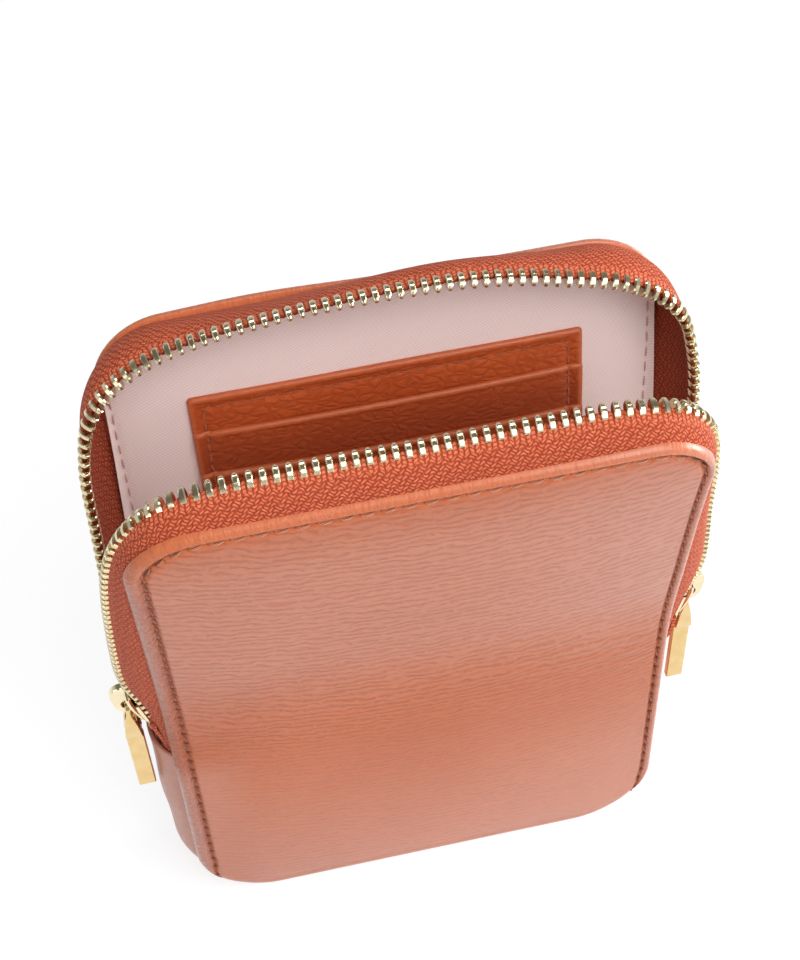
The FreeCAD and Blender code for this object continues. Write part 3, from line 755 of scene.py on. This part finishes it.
def gusset_leather():
    made, wire, link = finish_of(
        "gusset_leather", Specular_IOR_Level=0.35, Coat_Roughness=0.3, Coat_IOR=1.5)
    place = wire.place()
    grain = place.noise(1100.0, 2.0).step(0.3, 0.7) * 0.6 + place.noise(300.0, 3.0) * 0.5
    tone = place.noise(35.0, 3.0).step(0.3, 0.7)
    tone = layered(tone.blend((0.470, 0.165, 0.105), (0.530, 0.200, 0.132)),
                   ((1 - grain.step(0.2, 0.7)) * 0.25, (0.400, 0.120, 0.070)))
    link(Base_Color=tone, Roughness=0.46 - grain * 0.06, Coat_Weight=0.22 + grain * 0.2,
         Normal=grain.bump(0.25, 0.0002))
    return made


smooth_leather = gusset_leather()
outer = gusset_layer(0.0, GUSSET_HALF, 1.6)
inner = gusset_layer(1.2, GUSSET_HALF - 0.1, 1.6)
lips = []
for lift, share in ((0.35, 0.12), (0.55, 0.5), (0.35, 0.88)):
    ring = rim_of(outer) * (1 - share) + rim_of(inner) * share
    ring[:, 2] += lift * (ring[:, 2] > GUSSET_TOP - 0.5)
    lips.append(ring)
gusset = new_piece("gusset_strip", *shell(outer, inner, lips), smooth_leather)
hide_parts("gusset_base", "gusset_left", "gusset_right")
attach(gusset, "base")
face = gusset_layer(1.35, GUSSET_HALF - 0.2, 2.4, 3.0)
under = gusset_layer(1.8, GUSSET_HALF - 0.25, 2.4, 3.0)
gusset_cloth = new_piece("gusset_lining_cloth", *shell(face, under), twill, sharp=50)
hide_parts("gusset_lining_base", "gusset_lining_left", "gusset_lining_right")
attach(gusset_cloth, "base")


# Card pockets
# A backing and three pockets of pebbled leather, stepped down over each other
# and sewn through the back lining along their top and sides.
CARD_HALF, CARD_MIDDLE, CARD_TOP, CARD_FOOT = 47.0, 1.0, 177.0, 107.0
CARD_ROUND, CARD_LEATHER = 1.2, 0.9
CARD_SEAM, CARD_SEWN, CARD_PITCH = 3.4, 0.34, 3.1
CARD_LAP = 0.74 * CARD_LEATHER


def card_leather_finish():
    made, wire, link = finish_of(
        "card_leather", Specular_IOR_Level=0.3, Coat_Roughness=0.34, Coat_IOR=1.5)
    place = wire.place()
    turned = {"Rotation": (0, radians(-24), 0), "Scale": (290, 290, 480)}
    drawn = wire.node("ShaderNodeMapping", None, {"Vector": place, **turned})
    stray = wire.node("ShaderNodeTexNoise", None,
                      {"Vector": drawn, "Scale": 0.9, "Detail": 1.0}, "Color")
    drawn = wire.node("ShaderNodeVectorMath", {"operation": "ADD"}, {0: drawn, 1: stray})
    cell = wire.node("ShaderNodeTexVoronoi", {"feature": "DISTANCE_TO_EDGE"},
                     {"Vector": drawn, "Scale": 1.0}, "Distance")
    pebble = cell.step(0.0, 0.30) * (0.5 + place.noise(260.0).step(0.3, 0.7) * 0.35)
    grain = pebble + place.noise(900.0) * 0.15
    rim = wire.read("inside").step(1.7, 0.7)
    tone = place.noise(30.0).step(0.3, 0.7)
    tone = layered(
        tone.blend((0.480, 0.078, 0.014), (0.540, 0.094, 0.018)),
        ((1 - grain.step(0.0, 0.6)) * 0.34, (0.300, 0.040, 0.007)),
        # painted shade: darker lower down, under the front flap
        (place.axis(2).step(0.173, 0.154) * 0.9, (0.270, 0.040, 0.009)),
        (rim * 0.5, (0.580, 0.140, 0.042)),
    )
    link(Base_Color=tone, Roughness=0.46 - rim * 0.1, Coat_Weight=0.12 + grain * 0.14 + rim * 0.2,
         Normal=(grain * (1 - rim * 0.8)).bump(0.5, 0.0005))
    return made


card_hide = card_leather_finish()
lining_face = FACE - PANEL_THICK - 0.18 - LINING_THICK
card_edges = np.array([0, 0.06, 0.2, 0.4, 0.65, 0.95, 1.3, 1.7, 2.1, 2.5, 2.8, 3.1, 3.4, 3.7, 4.0,
                       4.4, 5.0, 6.0])
share = edge_columns(card_edges, 7.5, 30, CARD_HALF)[None, :]
card_drops = {"backing": 0.0, "upper": 10.2, "middle": 22.6, "lower": 36.0}
for n, (name, drop) in enumerate(card_drops.items()):
    top = CARD_TOP - drop
    height = np.concatenate([np.linspace(CARD_FOOT, top - 7, 40), top - card_edges[::-1]])
    height = height[:, None]
    corner = np.clip(height - (top - CARD_ROUND), 0, CARD_ROUND)
    wide = CARD_HALF - CARD_ROUND + np.sqrt(CARD_ROUND ** 2 - corner ** 2)
    sag = 0.5 * (1 - share ** 2) * (n > 0) * eased((height - top + 12) / 12)
    x, z = wide * share, height - sag
    sides = wide - np.abs(x)
    inside = np.minimum(sides, top - height)
    edge = (CARD_LEATHER - 0.3) * quarter_round(inside, 0.75)
    bead = 0.30 * hump(inside, 0.9, 0.7)
    sewn = CARD_SEWN * hump(sides, CARD_SEAM, 0.9) * (height < CARD_TOP - CARD_SEAM + 1)
    if n == 0:
        along = CARD_SEWN * hump(top - height, CARD_SEAM, 0.9) * (sides > CARD_SEAM - 1)
        sewn = np.maximum(sewn, along)
    bow = 0.35 * n * (1 - share ** 2) * eased((height - CARD_FOOT) / 30)
    bow = bow * eased((sides - CARD_SEAM) / 10)
    under = CARD_LAP * n
    rise = under + 0.3 + edge + bead - sewn * (1 + 0.5 * n) + bow
    outer = xyz(x + CARD_MIDDLE, lining_face - rise, z)
    inner = xyz(x + CARD_MIDDLE, lining_face - under + 0.05 - bow, z)
    pocket = new_piece("card_pocket_" + name, *shell(bent(outer, 1), bent(inner, 1)), card_hide)
    measure(pocket, "inside", np.concatenate([inside.ravel(), np.zeros(inside.size)]))
    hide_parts("card_backing" if n == 0 else "card_slot_" + name)
    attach(pocket, "back_flap")

card_side = [(CARD_HALF - CARD_SEAM, z) for z in np.arange(130.0, CARD_TOP - CARD_SEAM, 0.5)]
across = np.arange(CARD_HALF - CARD_SEAM, -CARD_HALF + CARD_SEAM, -0.5)
across = [(x, CARD_TOP - CARD_SEAM) for x in across]
card_line = np.array(card_side + across + [(-x, z) for x, z in reversed(card_side)])
drops, counts = (9.7, 10.7, 22.1, 23.1, 35.5, 36.5), (0, 1, 1, 2, 2, 3)
layers = np.interp(CARD_TOP - card_line[:, 1], drops, counts)
depth = lining_face - CARD_LAP * layers - CARD_LEATHER + CARD_SEWN * (1 + 0.5 * layers) - 0.08
line = xyz(card_line[:, 0] + CARD_MIDDLE, depth, card_line[:, 1])
count = int(run_along(card_line)[-1] / CARD_PITCH)
rust_thread = thread("rust_thread", (0.520, 0.150, 0.052), (0.240, 0.042, 0.012))
card_seam = sew("card_seam", line, 1, -1, stitch_shape(2.5, 0.24), count, rust_thread,
                wobble=0.08, seed=9)
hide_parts("card_stitches")
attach(card_seam, "back_flap")


# Zip tapes
# Two woven polyester tapes, sewn behind the panels' rims. Open, they flare out
# and curl over to a corded edge; below the sliders they run down in the gusset.
ENDS = {"left": -1, "right": 1}
TAPE_HALF_THICK, TAIL_HALF_THICK, TAPE_CUT = 0.42, 0.45, 10.5
TOOTH_LONG, TOOTH_PITCH = 3.8, 2.75
CHAIN_FORWARD = -3.9
RIGHT_TUCK = 1.6  # how far the right end of the zip is tucked into the gusset
ZIP_FOOT = {"s": (170, 178, 184, 197), "x": (70.4, 68.5, 67.4, 67.0),
            "z": (88.0, 80.0, 74.0, 61.0)}
# The tips of each row of teeth, at distances s from the middle of the top. deep is how
# far they lie inside the panel's face, and left lifts the upper left corner.
ROWS = {
    "front": dict(
        deep=9.5, left=0.0, s=(0, 25, 45, 52, 58, 65, 73, 82, 97, 112, 128, 142, 150, 155, 161),
        x=(0, 25, 44.5, 51.5, 57, 62.6, 67.3, 70, 72.2, 73.4, 74.4, 74.8, 74, 72.6, 71.2),
        z=(207.4, 207.8, 207, 205.2, 201.6, 194.8, 185.2, 176, 161, 146, 130, 116, 108.2, 103.2,
           97.3)),
    "back": dict(
        deep=17.2, left=2.0, s=(0, 20, 44, 56, 64, 72, 82, 104, 125, 141, 150, 155, 161),
        x=(0, 20, 42.5, 55, 62.5, 67.2, 70, 71.8, 72.6, 72.6, 72.2, 71.7, 71.1),
        z=(205.3, 204.5, 199.6, 195, 189.6, 182.8, 173, 151, 130, 114.5, 107.5, 103, 97.3)),
}
tooth_spots = np.linspace(-170, 170, 740)


def smooth_through(at, stations, values):
    """Values at places between stations, on a smooth curve through them."""
    stations, values = np.asarray(stations, float), np.asarray(values, float)
    slope = np.gradient(values, stations)
    n = np.clip(np.searchsorted(stations, at) - 1, 0, len(stations) - 2)
    gap = stations[n + 1] - stations[n]
    t = (at - stations[n]) / gap
    a, b = values[n], values[n + 1]
    rise = slope[n] * gap, slope[n + 1] * gap
    bow = 3 * (b - a) - 2 * rise[0] - rise[1]
    twist = 2 * (a - b) + rise[0] + rise[1]
    return a + t * rise[0] + t * t * bow + t ** 3 * twist


def sewn_edge(s, name):
    """The tape's sewn edge in the plane of its panel, at a distance from the middle of the top."""
    inset = 2.4 - 0.8 * eased((100 - s) / 30) * (name == "back")
    radius = TOP_ROUND - inset
    flat = PANEL_HALF - TOP_ROUND
    turn = np.clip((s - flat) / radius, 0, pi / 2)
    down = np.maximum(s - flat - radius * pi / 2, 0)
    x = np.where(s < flat, s, flat + radius * np.sin(turn))
    return x, PANEL_TOP - TOP_ROUND + radius * np.cos(turn) - down


def tape_section(name, s):
    """For places along a tape: its sewn edge, the middle of its curl and the tips of its
    teeth, bent with the panel."""
    side = SIDES[name]
    row = ROWS[name]
    reach = np.abs(s)
    stations = row["s"] + ZIP_FOOT["s"]
    lift = row["left"] * hump(s, -52, 22)
    x, z = (smooth_through(reach, stations, row[way] + ZIP_FOOT[way]) for way in "xz")
    tip = xyz(np.sign(s) * x, side * (FACE - row["deep"]), z + lift)
    if name == "front":
        tip += hump(s, 63, 9)[:, None] * (0.8, 0, 0.6) - hump(s, 102, 24)[:, None] * (1.0, 0, 0)
    else:
        tip[:, 0] -= 0.8 * eased((-s - 52) / 30) * eased((s + 176) / 22) + 1.1 * hump(s, -146, 15)
    tip[:, 0] -= RIGHT_TUCK * eased((s - 174) / 8)
    x, z = sewn_edge(reach, name)
    foot = xyz(np.sign(s) * x, side * (FACE - 1.1), z)
    out = np.cross(np.gradient(0.5 * (tip + foot), axis=0), tip - foot) * -side
    out /= np.linalg.norm(out, axis=1, keepdims=True)
    if name == "front":
        bulge = 1.5 + 0.25 * np.sin(s / 21.0 + 1.0)
    else:
        bulge = 1.6 + 1.5 * hump(s, 12, 26) + 0.5 * np.sin(s / 17.0)
        bulge = bulge + 1.2 * hump(s, 61, 14) + 0.6 * hump(s, -70, 24)
    bulge = bulge * eased((185 - reach) / 40) + 0.4
    middle = 0.5 * (foot + tip) + out * bulge[:, None] * 2
    return bent(foot, side), bent(middle, side), bent(tip, side)


def curl(foot, middle, tip, share):
    share = np.asarray(share)[..., None]
    return (1 - share) ** 2 * foot + 2 * share * (1 - share) * middle + share ** 2 * tip


def tooth_line(name):
    """The feet of the teeth, the way they point, the run along them and how many there are."""
    _, middle, tip = tape_section(name, tooth_spots)
    way = tip - middle
    way /= np.linalg.norm(way, axis=1, keepdims=True)
    base = tip - way * TOOTH_LONG
    run = run_along(base)
    return base, way, run, int(run[-1] / TOOTH_PITCH)


def tape_weave():
    made, wire, link = finish_of(
        "tape_weave", Specular_IOR_Level=0.18, Sheen_Weight=0.04, Sheen_Roughness=0.4)
    run, across = wire.read("run"), wire.read("across")
    place = wire.place()
    fray = place.noise(1500.0)
    drift = place.noise(300.0, 1.0) - 0.5
    lane = across / 0.80 + drift * 0.3
    dash = run / 1.5 + lane.math("FLOOR") * 0.37 + drift * 0.5
    yarn = dash.beat(0.46, 0.16) * lane.beat(0.46, 0.12)
    cell = wire.vector(dash.math("FLOOR"), lane.math("FLOOR"))
    odd = wire.node("ShaderNodeTexWhiteNoise", {"noise_dimensions": "2D"}, {"Vector": cell})
    loop = (run / 1.2 + drift * 0.4).beat(0.46, 0.2) * (across / 0.85).beat(0.5, 0.25)
    band = across.step(2.6, 2.4)
    height = yarn * (0.62 + odd * 0.38) * (1 - band) + loop * band * 0.9
    tone = layered(
        height.blend((0.330, 0.046, 0.017), (0.860, 0.215, 0.105)),
        (fray.step(0.4, 0.75) * 0.35, (0.720, 0.150, 0.066)),
        (across.step(1.0, 0.3) * 0.4, (0.380, 0.060, 0.024)),
        # painted shade on the tape's inner face
        (wire.read("inner_shade") * 0.55, (0.170, 0.022, 0.008)),
    )
    link(Base_Color=tone, Roughness=0.78 - height * 0.16,
         Normal=(height + fray * 0.3).bump(0.7, 0.0003))
    return made


weave = tape_weave()
for name, side in SIDES.items():
    s = np.r_[-196:-162:36j, -161:161:740j, 162:196:36j]
    foot, middle, tip = tape_section(name, s)
    width = np.linalg.norm(tip - foot, axis=1)
    _, _, tooth_run, count = tooth_line(name)
    phase = np.interp(s, tooth_spots, tooth_run) / tooth_run[-1] * (count - 1)
    between = (0.5 - 0.5 * np.cos(2 * pi * phase)) * (np.abs(s) < 170)
    end = 1 - (TOOTH_LONG - 1.3 - 0.8 * between) / width
    steps = np.r_[0:0.84:18j, 0.87:1:8j]
    shares = steps[None, :] * end[:, None]
    middle_line = curl(foot[:, None], middle[:, None], tip[:, None], shares)
    out = np.cross(np.gradient(middle_line, axis=0), np.gradient(middle_line, axis=1))
    out *= -side / np.linalg.norm(out, axis=-1, keepdims=True)
    shown = width * end
    from_edge = (1 - steps)[None, :] * shown[:, None]
    half_thick = TAPE_HALF_THICK + 0.28 * hump(from_edge, 0, 0.9)
    half_thick *= 1 - 0.55 * (steps[None, :] > 0.999)
    out = out * half_thick[..., None]
    tape = new_piece(name + "_tape", *shell(middle_line + out, middle_line - out), weave, sharp=60)
    run = run_along(curl(foot, middle, tip, 0.5 + 0 * s))
    measure(tape, "run", np.tile(np.repeat(run, len(steps)), 2))
    measure(tape, "across", np.tile(from_edge.ravel(), 2))
    # 1 on the inner face, which the material paints in shade
    measure(tape, "inner_shade", np.repeat((0, 1), from_edge.size))
    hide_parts(name + "_zip_tape")
    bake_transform(tape)
    wide, cut = max(float(shown.max()), TAPE_CUT), float((shown * np.gradient(run)).sum())

for name, way in ENDS.items():
    z = np.linspace(62, 90, 30)[:, None]
    across = np.linspace(-5.2, 5.2, 15)[None, :]
    x = np.interp(z, ZIP_FOOT["z"][::-1], ZIP_FOOT["x"][::-1]) + 0.5 - 0.06 * across ** 2
    x = x - RIGHT_TUCK * eased((84 - z) / 6) * (way > 0)
    outer, inner = (xyz(way * (x + off), CHAIN_FORWARD + across, z)
                    for off in (TAIL_HALF_THICK, -TAIL_HALF_THICK))
    tail = new_piece("zip_tail_" + name, *shell(outer, inner), weave, sharp=60)
    measure(tail, "run", np.tile((z + 0 * across).ravel(), 2))
    measure(tail, "across", np.tile((3.0 + np.abs(across) + 0 * z).ravel(), 2))
    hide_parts("zip_end_" + name)
    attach(tail, "base")


# Zip teeth
# Stamped brass teeth with a pale gold plating, clamped on the free edge of each
# tape. Each has two legs over the tape and a rounded head.
def octagon(a, b, cut):
    """A rectangle of half sides a and b, its corners cut off by a share of the shorter one."""
    c = cut * min(a, b)
    half = [(a, -b + c), (a, b - c), (a - c, b), (-a + c, b)]
    return half + [(-u, -v) for u, v in half]


def faceted(stations, cut=0.3):
    """A bar along Z through stations of height, width in X and thickness in Y, its corners cut."""
    return loft(np.array([[(x, y, z) for x, y in octagon(wide / 2, thick / 2, cut)]
                          for z, wide, thick in stations]))


def plated(name, bright, deep, rough):
    made, wire, link = finish_of(name, Metallic=1.0)
    place = wire.place()
    cloud = place.noise(260.0, 3.0)
    link(Base_Color=cloud.step(0.3, 0.7).blend(deep, bright), Normal=cloud.bump(0.08, 0.00008),
         Roughness=rough + place.noise(1800.0).step(0.4, 0.8) * 0.07)
    return made


tooth = faceted([(0, 1.25, 1.9), (0.15, 1.36, 2.1), (0.95, 1.48, 2.75), (1.9, 1.48, 2.8),
                 (2.5, 1.46, 2.5), (3.05, 1.38, 2.05), (3.5, 1.05, 1.5), (3.8, 0.5, 0.75)], 0.36)
zip_gold = plated("zip_gold", (0.800, 0.700, 0.480), (0.700, 0.590, 0.370), 0.16)
for name in SIDES:
    base, way, _, count = tooth_line(name)
    teeth = set_row(name + "_teeth", base, way, tooth, count, zip_gold, sharp=30)
    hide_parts(name + "_zip_teeth")
    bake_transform(teeth)


# Sliders
# Two cast sliders, plated like the teeth: a plate each side of the chain, a
# wedge between them and a solid eye on the outside for the pull.
SLIDER_PLACE = (71.0, CHAIN_FORWARD, 97.0)
SLIDER_TILT, SLIDER_LEAN = 8.0, 13.0
PLATE_IN, PLATE_OUT = 1.7, 3.0
PULL_OUT = 4.1
SLIDER_SET = {"left": 0.4, "right": -0.9}


def joined(*solids):
    """Several closed solids as one list of points and faces."""
    points, faces = [], []
    for p, f in solids:
        first = sum(len(q) for q in points)
        points.append(np.asarray(p, float))
        faces += [[i + first for i in face] for face in f]
    return np.concatenate(points), faces


def slab(outline, low, high, cut):
    """A plate between two distances along X, with an outline in Y and Z and its edges cut off."""
    outline = np.asarray(outline, float)
    middle = outline.mean(0)
    small = middle + (outline - middle) * (1 - cut / np.abs(outline - middle).max(0))
    rings = [(small, low), (outline, low + cut), (outline, high - cut), (small, high)]
    return loft(np.array([[(x, y, z) for y, z in ring] for ring, x in rings]))


def swept(path, normal, half_wide, half_thick, cut=0.35):
    """A strip with cut corners along a path: its width along normal, its thickness across it."""
    path, normal = np.asarray(path, float), np.asarray(normal, float)
    run = np.gradient(path, axis=0)
    run /= np.linalg.norm(run, axis=1, keepdims=True)
    side = np.cross(run, normal)
    corners = octagon(half_wide, half_thick, cut)
    return loft(np.stack([path + normal * u + side * v for u, v in corners], 1))


def eye(reach, hole, half_thick, cut):
    """A plate in X and Z with a round hole along Y. reach: angles, and how far its outline is
    from the middle of the hole at each."""
    angles = np.radians(np.arange(0, 360, 10))
    far = smooth_through(np.degrees(angles), *np.array(reach, float).T)
    h, c = half_thick, cut
    section = [(0, -h + 0.3 * c, 1), (c, -h, 1), (-2 * c, -h, 0), (-0.6 * c, -h + 0.4 * c, 0),
               (0, -h + 1.2 * c, 0)]
    section += [(r, -y, f) for r, y, f in reversed(section)]
    rings = []
    for angle, edge in zip(angles, far):
        ring = [((hole if at_hole else edge) + r, y) for r, y, at_hole in section]
        rings.append([(off * cos(angle), y, off * sin(angle)) for off, y in ring])
    points = np.array(rings)
    index = np.arange(points.shape[0] * points.shape[1]).reshape(points.shape[:2])
    after = np.roll(index, -1, 0)
    quads = np.stack([index, np.roll(index, -1, 1), np.roll(after, -1, 1), after], -1)
    return points.reshape(-1, 3), quads.reshape(-1, 4).tolist()


def at_pin(name, shift=0.0):
    """The turn of a slider or pull, and the place of the pin between them."""
    way = ENDS[name]
    pin = np.array((way, 1, 1)) * (SLIDER_PLACE + pin_out * (1, 0, 1))
    return Matrix.Rotation(pi if way < 0 else 0, 3, "Z"), pin + (SLIDER_SET[name] + shift, 0, 0)


shield = [(-2.8, 6.6), (-4.2, 6.0), (-4.8, 4.6), (-4.8, 1.5), (-4.4, -1.0), (-4.0, -3.7),
          (-3.7, -5.3), (-2.8, -6.2), (-1.4, -6.5)]
shield += [(-y, z) for y, z in reversed(shield)]
bail = eye([(0, 3.7), (35, 4.2), (60, 6.0), (80, 7.4), (100, 7.4), (125, 5.0), (150, 3.0),
            (180, 2.8), (225, 3.2), (255, 4.2), (285, 4.2), (320, 3.9), (360, 3.7)],
           hole=1.95, half_thick=1.15, cut=0.4)
bail = (bail[0] + (PULL_OUT, 0, 0), bail[1])
post = faceted([(1.8, 1.2, 3.4), (2.4, 2.6, 3.4), (5.6, 2.6, 3.4)], 0.2)
post = (post[0][:, [1, 0, 2]], post[1])
flanges = []
for x in (PLATE_IN - 0.9, -PLATE_IN):
    for y in (-1, 1):
        rail = faceted([(-5.6, 0.9, 0.9), (-5.2, 1.1, 1.0), (2.2, 1.1, 1.0)], 0.4)
        flanges.append((rail[0] + (x + 0.45, y * 3.9, 0), rail[1]))
plates = [slab(shield, low, low + PLATE_OUT - PLATE_IN, 0.45) for low in (PLATE_IN, -PLATE_OUT)]
slider_shape = joined(*plates, bail, post, *flanges)
slider_gold = plated("slider_gold", (0.900, 0.800, 0.560), (0.850, 0.730, 0.470), 0.14)
pin_out = np.array(Matrix.Rotation(radians(SLIDER_TILT), 3, "Y") @ Vector((PULL_OUT, 0, 0)))
for name in ENDS:
    turn, pin = at_pin(name)
    turn = np.array(turn @ Matrix.Rotation(radians(SLIDER_LEAN), 3, "Y"))
    spots = (slider_shape[0] - (PULL_OUT, 0, 0)) @ turn.T + pin
    slider = new_piece("slider_body_" + name, spots, slider_shape[1], slider_gold, sharp=32)
    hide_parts("slider_" + name)
    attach(slider, "slider_" + name)


# Pulls
# Two polished pulls of yellow gold plate. Each has a loop through the eye, a
# wedge-shaped head under it and a flat bar that hangs down.
PULL_SHIFT = -0.5
loop = [(0, -1.75, -7.0), (0, -1.75, -2.6), (0, -1.65, -1.9)]
loop += [(0, -1.1 * cos(t), -1.55 + 0.5 * sin(t)) for t in np.linspace(0.5, pi - 0.5, 7)]
loop += [(0, -y, z) for _, y, z in reversed(loop[:3])]
cheek = faceted([(-15.0, 4.3, 0.9), (-14.6, 4.7, 1.2), (-9.0, 3.4, 1.2), (-5.0, 1.7, 1.1),
                 (-4.4, 1.2, 0.8)], 0.5)
pull_shape = joined(
    swept(loop, (1, 0, 0), 0.62, 0.42, 0.5),
    (cheek[0] + (0, -1.75, 0), cheek[1]),
    (cheek[0] + (0, 1.75, 0), cheek[1]),
    faceted([(-14.9, 4.2, 3.6), (-14.5, 4.5, 4.2), (-9.6, 3.5, 4.2), (-9.0, 3.1, 3.8)], 0.25),
    faceted([(-41.6, 4.1, 1.4), (-41.2, 4.7, 2.0), (-15.9, 4.7, 2.0), (-15.5, 4.3, 1.6),
             (-15.45, 3.2, 1.2), (-14.5, 3.2, 1.2)], 0.3),
)
pull_gold = plated("pull_gold", (0.810, 0.610, 0.310), (0.770, 0.550, 0.250), 0.17)
for name in ENDS:
    turn, pin = at_pin(name, PULL_SHIFT)
    spots = pull_shape[0] @ np.array(turn).T + pin
    pull = new_piece("pull_tab_" + name, spots, pull_shape[1], pull_gold, sharp=30)
    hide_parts("pull_" + name)
    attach(pull, "pull_" + name)
